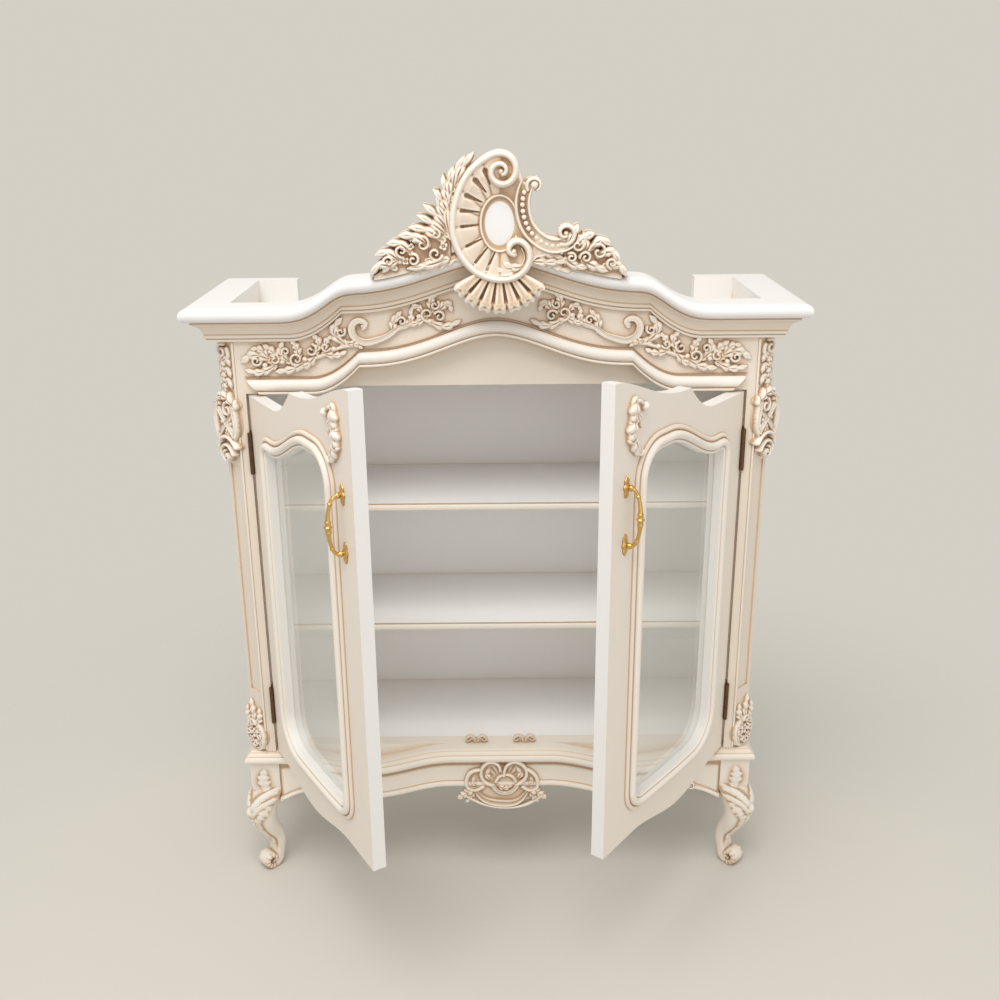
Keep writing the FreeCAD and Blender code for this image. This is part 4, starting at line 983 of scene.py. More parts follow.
def build_leg(word, sign, front, carve):
    """Cabriole leg: an oval of growing roundness, carried down an S-curve into a whorl.

    The section's half depth, half breadth and bluntness are read along the run. The knee carving is added
    to the depth on the outer face, the foot is ribbed by a sine of the run, and two bell-shaped grooves
    follow the shin.
    """
    path, facing, run = leg_line()
    block, square = (41, 1.0) if front else (29, 9.0)
    marks = [0, 70, 84, 104, 128, 158, 200, 230, 255, 285, 310, 340, run[-1]]
    deep = np.interp(run, marks, [block, block, 35, 29, 26, 21, 15, 13, 9.5, 6.5, 5.5, 4.5, 2.5])
    broad = np.interp(run, marks, [block, block, 37, 34, 32, 28, 20, 17.5, 17, 17, 17.5, 18, 18.5])
    broad = np.minimum(broad, block)
    blunt = np.interp(run, [0, 70, 105, 150, 205, 260], [square, square, 1.9, 2.2, 2.6, 3.6])[:, None]
    turn = np.linspace(0, 2 * np.pi, 72, endpoint=False)
    c, s = np.cos(turn)[None, :], np.sin(turn)[None, :]
    size = (np.abs(c) ** blunt + np.abs(s) ** blunt) ** (-1 / blunt)
    a, b = deep[:, None] * c * size, broad[:, None] * s * size
    z = path[:, 1:2] + facing[:, 1:2] * a
    fade = 1 - smooth((run - 235) / 30)
    relief = carve.read(b, z) * smooth(c * 3) * (c > 0) * fade[:, None] * (1.0 if front else 0.55)
    ribs = np.sin(run * 0.8)[:, None] * smooth((run - 262) / 20)[:, None] * smooth((np.abs(s) - 0.35) * 4)
    shin = np.exp(-((np.abs(b) - 13) / 2.4) ** 2) * (c > -0.3)
    shin = shin * smooth((134 - z) / 14) * smooth((z - 34) / 14)
    a = a + relief - 1.6 * shin
    b = b * (1 + 0.05 * ribs)
    outward = path[:, 0:1] + facing[:, 0:1] * a
    z = np.maximum(path[:, 1:2] + facing[:, 1:2] * a, 0.0)
    out = np.array([sign, -1.0]) / math.sqrt(2) if front else np.array([sign, 0.0])
    side = np.array([-out[1], out[0]])
    centre = np.array([sign * 474.5, 29.0 if front else DEPTH - 29.0])
    xy = centre + outward[..., None] * out + b[..., None] * side
    points = np.concatenate([xy, z[..., None]], -1)
    # Glaze and painted shade: tan where the knee carving lies below its own mean, in the shin's grooves, and
    # between the foot's ribs
    glaze_and_shade = np.clip(blurred(relief, 2) - relief, -0.6, 1)
    coil = (run > 270)[:, None] * (np.abs(s) > 0.5) * (0.35 - 0.35 * ribs) + 0.9 * shin
    end = "front" if front else "rear"
    moulding(f"{word}_{end}_cabriole", points, glaze_and_shade + coil, 55, f"{word}_{end}_leg")


def build_legs():
    """Four legs from one knee carving.

    The front pair stands on the diagonals, the rear pair faces sideways.
    """
    carve = knee_relief()
    for word, sign in SIDES.items():
        for front in (True, False):
            build_leg(word, sign, front, carve)


# Crest
def scroll_path():
    """Middle line of the main scroll.

    A volute, the shell's long side, and a small volute that closes the foot.
    """
    upper = spiral((11, 1406), (5, 28), (-420, 90), 30)
    side = [(-18, 1424), (-44, 1401), (-61, 1368), (-69.5, 1332), (-68, 1299), (-55, 1268), (-33, 1244),
            (0, 1231)]
    lower = [(29, 1233), (50, 1247), (58, 1267), (52, 1286), (38, 1294), (26, 1288), (24, 1277), (32, 1272)]
    return np.concatenate([upper, side, lower])


def small_path():
    """Middle line of the beaded scroll.

    Round its ball, down the hollow side and up into the right-hand volute.
    """
    return [(72, 1375), (76, 1385), (68, 1393), (56, 1390), (50, 1377), (46, 1357), (48, 1335), (56, 1314),
            (73, 1296), (94, 1286), (112, 1287), (126, 1295), (130, 1308), (122, 1318), (112, 1315),
            (110, 1307)]


def flutes(x, z):
    """Shell field round the cabochon.

    It dishes up to the rim, in convex lobes parted at the flutes' bearings.
    """
    bearings = [88, 105, 119, 139, 160, 184, 213, 236, 254, 270, 286]
    turn = np.degrees(np.arctan2(z - CABOCHON[1], x - CABOCHON[0])) % 360
    place = np.interp(turn, bearings, np.arange(len(bearings)))
    lobe = bow(2 * (place - np.floor(place)) - 1) * (place > 0) * (place < len(bearings) - 1)
    far = np.clip((np.hypot(x - CABOCHON[0], (z - CABOCHON[1]) / 1.28) - 30) / 36, 0, 1)
    return 2.0 + 8.0 * far ** 1.5 + 3.6 * lobe * smooth(far * 4)


def carve_rim(front):
    """Rim of the shell: a half round along the main scroll, a fine bead beside it, buttons and two leaves."""
    rim = Relief((-92, 1212), (76, 1448), 0.8)
    path = scroll_path()
    widths = [(0, 5.0), (0.05, 6.4), (0.12, 7.0), (0.3, 7.4), (0.45, 7.6), (0.75, 7.4), (0.9, 7.2), (1, 6.0)]
    rim.band(path, widths, [(0, 22), (0.3, 18), (0.6, 16), (1, 20)])
    rim.band(beside(path[26:42], 8.6), 2.2, 12)
    rim.bead((11, 1406), 6.0, 22)
    rim.bead((31, 1277), 6, 21)
    rim.leaf([(48, 1252), (32, 1250), (12, 1260)], 9, 9, 2, 0.25, base=6)
    rim.leaf([(40, 1244), (18, 1243), (-4, 1250)], 7, 8, 2, 0.25, base=5)
    on_cabinet(rim.piece("crest_rim_scroll", front, 0.0), "crest_main_scroll")


def carve_shell(front, back):
    """Fluted shell behind the cabochon.

    The field of lobes is cut to an outline, with gouged slots and a moulding round the cabochon.
    """
    sizes = settings("cabinet_sizes")
    body = Relief((-86, 1220), (136, 1442), 0.8)
    # An even tan over the whole shell, which darkens it
    body.wash = 0.5
    outline = [(126, 1294), (104, 1300), (84, 1304), (68, 1318), (60, 1336), (58, 1352), (62, 1368),
               (64, 1378), (58, 1387), (46, 1390), (42, 1410), (24, 1432), (2, 1436), (-24, 1422),
               (-48, 1398), (-66, 1362), (-73, 1330), (-71, 1298), (-60, 1266), (-40, 1246), (0, 1234),
               (40, 1238), (56, 1252), (70, 1266), (100, 1272), (124, 1282)]
    body.shield(outline, flutes)
    slots = [((-7, 1385), (-15, 1407), 4.6), ((-14, 1373), (-31, 1392), 4.8),
             ((-21, 1357), (-46, 1368), 4.2), ((-26, 1341), (-55, 1344), 3.6),
             ((-27, 1320), (-55, 1318), 2.8), ((-20, 1298), (-47, 1286), 2.6),
             ((-9, 1287), (-33, 1259), 2.4), ((1, 1278), (-14, 1246), 2.2)]
    for inner, outer, wide in slots:
        body.groove([inner, np.add(inner, outer) / 2, outer], (0.9, wide), 8.0)
    margin = 0.5
    turn = np.linspace(0.3, 2 * np.pi - 0.3, 60)
    across = CABOCHON[0] + (mm(sizes.cabochon_wide) + margin) * np.cos(turn)
    up = CABOCHON[1] + (mm(sizes.cabochon_tall) + margin) * np.sin(turn)
    body.band(np.stack([across, up], 1)[::3], 2.6, 8.5)
    on_cabinet(body.piece("crest_fluted_shell", front, back), "crest_shell")


def carve_cabochon():
    """Cabochon: a low dome over an oval.

    Its height is a sine and its reach a power of the cosine of one quarter turn.
    """
    sizes = settings("cabinet_sizes")
    turn = np.linspace(0, 2 * np.pi, 72, endpoint=False)
    lift = np.linspace(0, np.pi / 2, 18)[:, None]
    ring = np.cos(lift) ** 0.8
    dome = grid(CABOCHON[0] + mm(sizes.cabochon_wide) * ring * np.cos(turn),
                CREST_FRONT + 1 - mm(sizes.cabochon_rise) * np.sin(lift),
                CABOCHON[1] + mm(sizes.cabochon_tall) * ring * np.sin(turn))
    piece = skin("crest_cabochon_dome", dome, lattice(*dome.shape[:2], wrap_cols=True), -1.0, 70)
    settle(piece, "cabinet", "white_paint", "crest_cabochon")


def carve_beaded_scroll(front):
    """Small scroll with a row of beads.

    A sunk band runs between two round rims, with a ball and a volute at its ends.
    """
    scroll = Relief((14, 1252), (146, 1406), 0.7)
    path = small_path()
    scroll.band(path[2:14], [(0, 6), (0.15, 9), (0.4, 13), (0.8, 12), (1, 6)], 5.5, rimmed)
    for offset in (-10.4, 10.4):
        scroll.band(beside(path[3:13], offset)[2:-2], swelling(2.2, 1.4, 0.5), 15)
    scroll.beads(path[4:11], 4.6, 13, 7.5)
    scroll.bead((66, 1384), 9, 20)
    scroll.band(spiral((66, 1383), (8, 13), (-60, 210), 14), (3.4, 5.0), (18, 14))
    scroll.bead((118, 1306), 5.5, 20)
    scroll.band(spiral((117, 1306), (4.5, 19), (290, -110), 20), (4.0, 6.4), (21, 14))
    leaves = [((60, 1270), (84, 1272), (116, 1264), 9), ((58, 1260), (88, 1258), (124, 1260), 9)]
    scroll.leaves(leaves, 8, 3, 0.25, base=3)
    on_cabinet(scroll.piece("crest_beaded_scroll", front, 0.0), "crest_small_scroll")


def build_crest():
    """Crest: its carvings stand on one plane before the cornice, each worked as a relief of its own."""
    front = flat_at(CREST_FRONT)
    carve_rim(front)
    carve_shell(front, -CREST_THICK)
    carve_cabochon()
    carve_beaded_scroll(front)
    build_fan()
    build_sprays(front, -CREST_THICK)
    nose_leaves()


def build_fan():
    """Hanging fan: seven flared lobes with waved ends, parted by narrow slots.

    The field is polar. The bearing gives the lobe and the place across it, and the distance gives
    the flare and the rolled edge.
    """
    hub = np.array((7.0, 1264.0))
    full = mm(settings("cabinet_sizes").fan_reach)
    lobes, first, last = 7, 209.0, 331.0
    pitch = (last - first) / lobes
    fan = Relief((-94, 1160), (106, 1268), 0.8)
    # An even tan over the whole fan, which darkens it
    fan.wash = 0.85
    part, x, z = fan.window((-92, 1162), (104, 1262))
    far = np.hypot(x - hub[0], z - hub[1])
    turn = np.degrees(np.arctan2(z - hub[1], x - hub[0])) % 360
    place = np.clip((turn - first) / pitch, 0, lobes - 1e-6)
    inside = place - np.floor(place)
    middle = np.abs(inside - 0.5) * 2
    edge = full - 1.7 * np.cos(4 * np.pi * inside) - 3.0 * smooth((middle - 0.75) / 0.25)
    room = (1 - middle) * np.radians(pitch) / 2 * far
    between = (np.round(place) > 0.5) & (np.round(place) < lobes - 0.5)
    reach = np.clip((far - 34) / 40, 0, 1)
    slot = smooth(1.5 - room / (0.7 + 1.8 * reach)) * between
    slot = slot * smooth((far - 33) / 4) * smooth((76 - far) / 5)
    lobe = 8 + 8 * np.clip((far - 24) / 62, 0, 1) ** 1.2 + 5.5 * bow(middle) * reach
    rolled = 5.0 * smooth((far - edge + 10) / 10)
    height = np.maximum(lobe - rolled - 15 * slot, 1.0)
    spread = np.minimum(turn - first, last - turn) * np.pi / 180 * far
    fan.lay(part, height, np.minimum(np.minimum(edge - far, far - 16), spread))
    on_cabinet(fan.piece("crest_hanging_fan", flat_at(CREST_FRONT + 1.0), -3.0), "crest_fan")


def bank(first, last, count, heights):
    """Outline of a spray's ground.

    Along the cornice's top, and back along heights above it read at places across.
    """
    x = np.linspace(first, last, count)
    ground = CORNICE_TOP + crown(x) - 3
    upper = ground + 8 + np.interp(x, *zip(*heights))
    return np.concatenate([np.stack([x, ground], 1), np.stack([x, upper], 1)[::-1]])


def build_sprays(front, back):
    """Feathered plume up the crest's left side with curls under it, and a shorter spray on the right."""
    left = Relief((-218, 1170), (-26, 1444), 0.9)
    left.shield(bank(-205, -74, 60, [(-205, 0), (-180, 14), (-150, 32), (-120, 48), (-96, 72), (-74, 128)]),
                3.0)
    left.shield([(-76, 1310), (-82, 1352), (-72, 1392), (-46, 1426), (-32, 1430), (-50, 1398), (-66, 1362),
                 (-70, 1320)], 4.0)
    plumes = [((-64, 1386), (-52, 1414), (-32, 1436), 8), ((-68, 1376), (-62, 1408), (-47, 1431), 7),
              ((-72, 1362), (-74, 1392), (-66, 1415), 8), ((-74, 1350), (-82, 1378), (-84, 1403), 8),
              ((-76, 1338), (-88, 1362), (-102, 1379), 9), ((-76, 1326), (-92, 1350), (-92, 1378), 7),
              ((-78, 1314), (-98, 1338), (-119, 1354), 9), ((-80, 1304), (-106, 1325), (-130, 1337), 9),
              ((-86, 1296), (-114, 1312), (-144, 1317), 10), ((-112, 1288), (-134, 1302), (-162, 1303), 10),
              ((-140, 1274), (-158, 1290), (-182, 1290), 9), ((-160, 1262), (-182, 1276), (-202, 1271), 9),
              ((-168, 1250), (-192, 1256), (-211, 1236), 8), ((-82, 1264), (-110, 1256), (-150, 1249), 10),
              ((-74, 1300), (-80, 1340), (-68, 1390), 7), ((-160, 1264), (-176, 1256), (-190, 1242), 8)]
    left.leaves(plumes, 12, 2, 0.22, base=3)
    curls = [((-121, 1290), 15, -240), ((-156, 1279), 11, -120), ((-137, 1264), 10, 60),
             ((-100, 1274), 12, -60), ((-98, 1306), 9, 120), ((-178, 1262), 9, -200)]
    left.curls(curls, 2.5, 400, (2.4, 4.2), (18, 13), 18)
    for centre, radius in (((-150, 1262), 7), ((-112, 1262), 7), ((-86, 1286), 8), ((-140, 1286), 6)):
        left.flower(centre, radius, 10, 4, centre[0], base=4)
    on_cabinet(left.piece("crest_left_leaves", front, back), "crest_left_spray")

    right = Relief((108, 1170), (228, 1330), 0.9)
    right.shield(bank(116, 214, 50, [(116, 66), (140, 52), (170, 38), (200, 18), (214, 0)]), 3.0)
    plumes = [((120, 1286), (130, 1304), (140, 1320), 10), ((134, 1282), (150, 1298), (168, 1305), 10),
              ((172, 1268), (194, 1274), (210, 1254), 10), ((184, 1252), (206, 1252), (222, 1232), 9),
              ((148, 1260), (170, 1250), (192, 1242), 10), ((118, 1262), (136, 1252), (158, 1250), 9),
              ((160, 1280), (178, 1293), (196, 1284), 9), ((150, 1276), (152, 1292), (146, 1308), 7)]
    right.leaves(plumes, 12, 2, 0.22, base=3)
    curls = [((173, 1275), 16, -250), ((138, 1286), 11, 20), ((152, 1266), 10, 120), ((196, 1256), 9, -160),
             ((128, 1266), 8, 60)]
    right.curls(curls, 2.5, 420, (2.6, 4.4), (18, 13), 20)
    on_cabinet(right.piece("crest_right_leaves", front, back), "crest_right_spray")


def nose_leaves():
    """Two long leaves that lie round the cornice's nose and run away from the crest on each side."""
    strokes = [((56, 152, 9), [(56, 2), (100, -1), (152, -4)], 15, 4.2, 5),
               ((58, 128, 7), [(58, -7), (128, -13)], 9, 4.8, 4)]
    for word, sign in SIDES.items():
        carve = Relief((52, 1180), (160, 1300), 1.0)
        for span, drops, half, rise, lobes in strokes:
            x = np.linspace(*span)
            middle = CORNICE_TOP + crown(x) + np.interp(x, *zip(*drops))
            carve.leaf(np.stack([x, middle], 1), half, rise, lobes, 0.3)
        on_cabinet(carve.piece(f"cornice_{word}_leaf", on_nose(sign)))


# Frieze, posts and apron
def build_swags():
    """Leaf and ribbon swag over the left half of the frieze, and its mirror image on the right."""
    carve = Relief((-456, 1050), (-56, 1206), 0.9)
    carve.band([(-340, 1082), (-300, 1095), (-266, 1108), (-238, 1108)], (5, 4), 7)
    carve.band([(-174, 1137), (-150, 1146), (-126, 1158)], 5, 8)
    ribbon = [(-232, 1140), (-228, 1148), (-237, 1154), (-249, 1149), (-253, 1136), (-246, 1122),
              (-231, 1115), (-208, 1119), (-190, 1126), (-174, 1138), (-157, 1147)]
    carve.band(ribbon, [(0, 4), (0.3, 7.5), (0.6, 7), (1, 4)], 11, stepped)
    leaves = [((-398, 1084), (-426, 1094), (-452, 1079), 12), ((-402, 1088), (-416, 1104), (-434, 1104), 9),
              ((-392, 1074), (-420, 1063), (-447, 1068), 9), ((-384, 1084), (-396, 1102), (-412, 1112), 10),
              ((-366, 1082), (-380, 1102), (-374, 1119), 10), ((-348, 1090), (-352, 1108), (-362, 1121), 9),
              ((-336, 1082), (-362, 1068), (-394, 1064), 10), ((-318, 1094), (-332, 1077), (-356, 1068), 9),
              ((-318, 1098), (-312, 1118), (-324, 1130), 9), ((-302, 1100), (-298, 1118), (-286, 1128), 8),
              ((-266, 1112), (-284, 1134), (-268, 1160), 11), ((-304, 1096), (-284, 1092), (-262, 1100), 8),
              ((-262, 1114), (-250, 1113), (-234, 1103), 7), ((-180, 1132), (-178, 1152), (-163, 1170), 9),
              ((-160, 1142), (-148, 1156), (-150, 1174), 8), ((-112, 1170), (-112, 1188), (-101, 1202), 9),
              ((-98, 1170), (-84, 1182), (-76, 1166), 9), ((-116, 1152), (-90, 1142), (-59, 1154), 9),
              ((-122, 1158), (-142, 1148), (-164, 1150), 8), ((-126, 1166), (-140, 1178), (-150, 1166), 7)]
    carve.leaves(leaves, 10, 3, 0.28, base=0.8)
    curls = [((-424, 1084), 9, -40), ((-391, 1086), 10, 100), ((-352, 1086), 12, -160),
             ((-326, 1102), 11, 40), ((-119, 1164), 13, -100), ((-98, 1160), 10, 120),
             ((-371, 1100), 8, 220), ((-300, 1108), 8, -60), ((-272, 1134), 8, 0), ((-164, 1152), 8, 140),
             ((-106, 1180), 8, 10)]
    carve.curls(curls, 2.2, 390, (2.2, 3.8), (13, 9), 18)
    for centre in ((-338, 1086), (-378, 1082), (-409, 1076), (-134, 1160), (-232, 1144), (-286, 1104)):
        carve.bead(centre, 5, 5, 5)
    for word, sign in SIDES.items():
        on_cabinet(carve.piece(f"{word}_swag_carving", flat_at(0.0, -sign)), f"{word}_frieze_swag")


def husk_drop(carve):
    """Top of a post.

    A curl over three tiers of husks, each a middle leaf between two that turn out and down.
    """
    carve.band(spiral((2, 1098), (4, 14), (-300, 110), 18), (3.4, 4.6), 10)
    carve.band([(-12, 1104), (-15, 1092), (-6, 1080), (6, 1076)], 4.0, 8)
    for z in (1080, 1060, 1040):
        for sign in (-1, 1):
            carve.leaf([(0, z - 4), (sign * 10, z + 5), (sign * 17, z - 9)], 7.5, 9, 2, 0.25)
        carve.leaf([(0, z + 4), (0, z - 8), (0, z - 21)], 8, 11, 2, 0.25)


def cartouche(carve):
    """Cartouche under the husks.

    A field, a leaf over it, crossed and side bands, and a roll that ends in a button.
    """
    field = [(-22, 1000), (-24, 960), (-16, 925), (0, 905), (18, 915), (28, 945), (30, 985), (24, 1006),
             (0, 1012)]
    carve.shield(field, 4.0)
    carve.leaf([(-25, 1000), (-8, 1015), (12, 1016), (33, 1000)], 12, 17, 4, 0.25)
    carve.band(spiral((-8, 993), (4, 13), (-300, 60), 18), (3.0, 4.4), 15)
    carve.band([(22, 990), (8, 974), (-8, 960), (-22, 946)], 5.0, 14, stepped)
    carve.band([(-18, 984), (-4, 970), (12, 956), (24, 942)], 5.0, 13, stepped)
    carve.band([(28, 1000), (33, 978), (31, 952), (20, 930)], 4.4, 14, stepped)
    carve.band([(-22, 1000), (-26, 972), (-23, 946), (-14, 930)], 4.4, 13, stepped)
    carve.leaf([(0, 956), (2, 940), (0, 924)], 11, 12, 2)
    carve.band([(-26, 924), (-14, 936), (4, 940), (22, 932), (28, 916)], 5.0, 16)
    carve.band([(-18, 910), (-8, 922), (8, 924), (19, 914), (16, 902)], 4.6, 17)
    carve.band(spiral((2, 904), (3, 11), (-330, 60), 20), (3.0, 4.0), 18)
    carve.bead((2, 904), 6, 18)
    for centre in ((6, 984), (16, 966), (-12, 966), (2, 952), (20, 1000)):
        carve.bead(centre, 4.5, 6, 6)


def foot_cluster(carve):
    """Foot of a post: an oval ring round flowers and curls, with leaves above and one below."""
    turn = np.linspace(0, 6.2, 50)
    ring = np.stack([2 + 27 * np.cos(turn), 318 + 31 * np.sin(turn)], 1)
    carve.shield(ring, 2.0)
    carve.band(ring[::4], 4.6, 12, stepped)
    for centre, radius in (((0, 323), 12), ((15, 334), 9), ((-13, 307), 9), ((14, 305), 9), ((-13, 336), 9)):
        carve.flower(centre, radius, 11, 5, centre[1], base=2)
    curls = [((4, 344), 9, -200), ((-16, 322), 8, 40), ((20, 318), 8, 160), ((0, 302), 8, -60)]
    carve.curls(curls, 2, 380, (2.2, 3.2), 13, 16)
    leaves = [((0, 344), (6, 370), (15, 394), 9), ((-8, 344), (-15, 362), (-12, 382), 8),
              ((14, 342), (25, 356), (29, 374), 8), ((-20, 296), (0, 289), (22, 296), 7)]
    carve.leaves(leaves, 11, 3, 0.3)


def build_posts():
    """Carvings on the canted face of each front post, and a bead along the post's front.

    On the cant, x runs outwards from the middle of the face.
    """
    carve = Relief((-34, 282), (38, 1120), 0.9)
    husk_drop(carve)
    cartouche(carve)
    foot_cluster(carve)
    bead = Relief((460, 288), (472, 1118), 0.8)
    bead.band([(466, 292), (466, 600), (466, 1114)], 2.6, 2.2)
    for word, sign in SIDES.items():
        on_cabinet(carve.piece(f"{word}_post_drops", on_cant(sign), -4.0), f"{word}_post_carving")
        on_cabinet(bead.piece(f"{word}_post_bead", flat_at(0.0, sign), -0.5))


def carve_apron_shell():
    """Shell cartouche in the middle of the apron.

    A grooved field, a pair of lobes, side scrolls, a hull and leaves.
    """
    carve = Relief((-96, 146), (98, 268), 0.8)
    carve.wash = 0.42
    carve.shield([(-66, 204), (-62, 226), (-44, 244), (-20, 258), (8, 250), (30, 259), (48, 252), (70, 226),
                  (76, 204), (60, 172), (9, 156), (-50, 172)], 3.0)
    middle = np.array((9.0, 208.0))
    for turn in range(20, 171, 15):
        way = np.array([math.cos(math.radians(turn)), math.sin(math.radians(turn))])
        carve.groove([middle + far * way for far in (30, 38, 46)], (1.2, 2.2), 2.6)
    carve.band([(1, 240), (-3, 252), (-18, 260), (-33, 250), (-38, 232), (-30, 214), (-14, 206)], (4, 5.0),
               10)
    carve.band([(8, 228), (12, 247), (28, 260), (46, 252), (54, 236), (48, 218), (34, 208)], (4, 5.0), 10)
    carve.band([(-42, 242), (-57, 237), (-67, 220), (-65, 200), (-50, 195), (-34, 203)], 4.8, 9)
    carve.band([(56, 242), (67, 233), (76, 214), (73, 198), (60, 194), (46, 202)], 4.8, 9)
    carve.band(spiral((10, 213), (25, 25), (195, 345), 24), 5.0, 11, stepped)
    carve.band([(-9, 214), (0, 227), (12, 231), (26, 225), (32, 214)], 4.0, 9)
    carve.leaf([(-6, 206), (10, 199), (28, 208)], 8, 9, 3, 0.25)
    carve.leaves([((-16, 218), (-26, 230), (-20, 246), 8), ((34, 220), (42, 232), (32, 248), 8)], 8, 2, 0.25)
    carve.leaves([((-44, 204), (-54, 212), (-50, 228), 7), ((54, 204), (64, 212), (60, 228), 7)], 7, 2, 0.25)
    hull = [(-52, 200), (-36, 176), (-10, 165), (10, 163), (34, 167), (57, 196)]
    carve.band(hull, swelling(3, 5), 11, gouged)
    carve.band([(-72, 184), (-40, 164), (9, 153), (58, 162), (84, 180)], 4.2, 8)
    for sign, end in ((-1, -66), (1, 74)):
        carve.leaf([(end - sign * 10, 196), (end + sign * 4, 186), (end + sign * 20, 172)], 11, 9, 3, 0.3)
        carve.leaf([(end - sign * 14, 192), (end - sign * 4, 176), (end + sign * 4, 164)], 9, 9, 3, 0.3)
        carve.bead((end - sign * 6, 190), 7, 11)
    on_cabinet(carve.piece("apron_shell_carving", flat_at(0.0)), "apron_shell")


def build_apron_shell():
    """Apron's shell, low curls on the rail above it, and a roll with a bud and a leaf along each bracket."""
    carve_apron_shell()
    rail = Relief((-84, 280), (84, 308), 0.7)
    rail.wash = 0.5
    curl = [(3, 288), (4, 296), (10, 301), (18, 299), (20, 293), (15, 290), (12, 294)]
    for middle in (-47, 50):
        for sign in (-1, 1):
            rail.band([(middle + sign * a, b) for a, b in curl], (3.0, 1.8), 1.0)
    on_cabinet(rail.piece("rail_scrolls", flat_at(25.5), -6.0))
    bracket = Relief((350, 176), (442, 224), 0.8)
    x = np.linspace(392, 440, 6)
    bracket.band(np.stack([x, apron_edge(x) + 5], 1), (4, 5), 7)
    bud = float(apron_edge(385.0)) + 6
    bracket.band(spiral((386, bud), (2, 8), (-280, 100), 14), (2.4, 3.4), 8)
    bracket.leaf([(382, bud), (370, bud + 2), (358, bud + 6)], 6, 6, 2, 0.25)
    for word, sign in SIDES.items():
        on_cabinet(bracket.piece(f"{word}_bracket_scroll", flat_at(-0.5, sign)))


# Doors
def light_outline():
    """Closed outline of a door's light, at even steps.

    The head eases between two levels, the sides are straight, the sill is a shallow square curve,
    and each corner is a quarter oval.
    """
    first, last = 76.5, 353.5
    low, step = 938.0, 56.0
    small, large, foot, sweep = 12.0, 45.0, 26.0, 62.0
    count = 10

    def corner(a, middle, b):
        """Quarter oval from a to b, hollow side away from the middle point."""
        turn = np.linspace(0, np.pi / 2, count)[:, None]
        a, middle, b = (np.array(p, float) for p in (a, middle, b))
        return middle + (a - middle) * (1 - np.sin(turn)) + (b - middle) * (1 - np.cos(turn))

    def floor(s):
        """Height of the sill: the square of the distance from its lowest point."""
        return 351 + 9 * ((np.asarray(s, float) - 165) / 188.5) ** 2

    s = np.linspace(first + small, last - large, 60)
    head = np.stack([s, low + step * smooth((s - 110) / 165)], 1)
    s = np.linspace(last - foot, first + sweep, 40)
    sill = np.stack([s, floor(s)], 1)
    near, far = floor(last - foot), floor(first + sweep)
    parts = [corner((first, low - small), (first, low), (first + small, low)), head,
             corner((last - large, low + step), (last, low + step), (last, low + step - large)),
             corner((last, near + foot), (last, near), (last - foot, near)), sill,
             corner((first + sweep, far), (first, far), (first, far + sweep))]
    ring = np.concatenate(parts)
    closed = np.concatenate([ring, ring[:1]])
    run = np.concatenate([[0.0], np.cumsum(np.linalg.norm(np.diff(closed, axis=0), axis=1))])
    even = np.linspace(0, run[-1], 420, endpoint=False)
    return np.stack([np.interp(even, run, closed[:, i]) for i in range(2)], 1)


def bolection_section():
    """Bolection section as distance out from the light, rise off the door and glaze.

    It has a lip, two rounds and the grooves beside them.
    """
    rows = [(-0.3, -11.8, -0.8), (-3.4, -11.8, -0.8), (-3.4, 2.0, -0.8)]
    rows += oval((-0.6, 3.6), (2.8, 3.4), (180, 35), 8, -0.4)
    rows += [(1.9, 4.6, 0.85), (2.3, 4.4, 0.85)]
    rows += oval((9.4, 4.6), (7.0, 7.2), (174, 12), 14, -0.2)
    rows += [(16.8, 3.6, 0.8), (17.4, 3.0, 1.0), (18.0, 2.8, 1.0)]
    rows += oval((22.0, 1.8), (4.0, 3.8), (165, 15), 9, 0.1)
    rows += [(26.6, 1.4, 0.6), (27.0, 0.4, 0.9), (27.0, -0.4, 0.5), (2.0, -0.6, 0.0), (-0.3, -0.6, 0.0)]
    return np.array(rows, float)


def tulip_drop():
    """Drop for a meeting stile.

    A bent stem with a ball, and three tulips in a curve, each with a lip at its tip.
    """
    drop = Relief((346, 984), (424, 1094), 0.8)
    drop.band([(392, 1082), (380, 1084), (366, 1076)], (4, 3), 6)
    drop.bead((362, 1072), 8, 11)
    drop.leaf([(384, 1066), (374, 1054), (369, 1038)], 7, 7, 2, 0.2)
    tulips = [((393, 1086), (397, 1069), (398, 1050), 14, 12),
              ((398, 1058), (402, 1040), (400, 1022), 14, 13),
              ((397, 1031), (389, 1014), (374, 997), 12, 11)]
    for head, middle, tip, half, rise in tulips:
        drop.leaf([head, middle, tip], half, rise, 2, 0.22)
        drop.band([np.add(tip, (-half * 0.7, 5)), tip, np.add(tip, (half * 0.7, 5))], 2.6, rise * 0.75)
    return drop


def build_doors():
    """Bolection mouldings, and a drop on each meeting stile.

    The moulding's section is carried round the light along the outline's normals.
    """
    ring = light_outline()
    ahead = np.roll(ring, -2, axis=0) - np.roll(ring, 2, axis=0)
    ahead /= np.linalg.norm(ahead, axis=1)[:, None]
    out = np.stack([-ahead[:, 1], ahead[:, 0]], 1)
    n, rise, glaze_and_shade = bolection_section().T
    points = grid(ring[:, 0:1] + out[:, 0:1] * n, FACE - rise, ring[:, 1:2] + out[:, 1:2] * n)
    quads = lattice(*points.shape[:2], wrap_rows=True, wrap_cols=True)
    drop = tulip_drop()
    for word, sign in SIDES.items():
        body = f"{word}_door"
        piece = skin(f"{word}_bolection_run", on_door(points, sign), quads, glaze_and_shade, 45)
        settle(piece, body, "ivory_paint", f"{word}_bolection")
        settle(drop.piece(f"{word}_tulip_drop", on_leaf(sign)), body, "ivory_paint", f"{word}_door_drop")


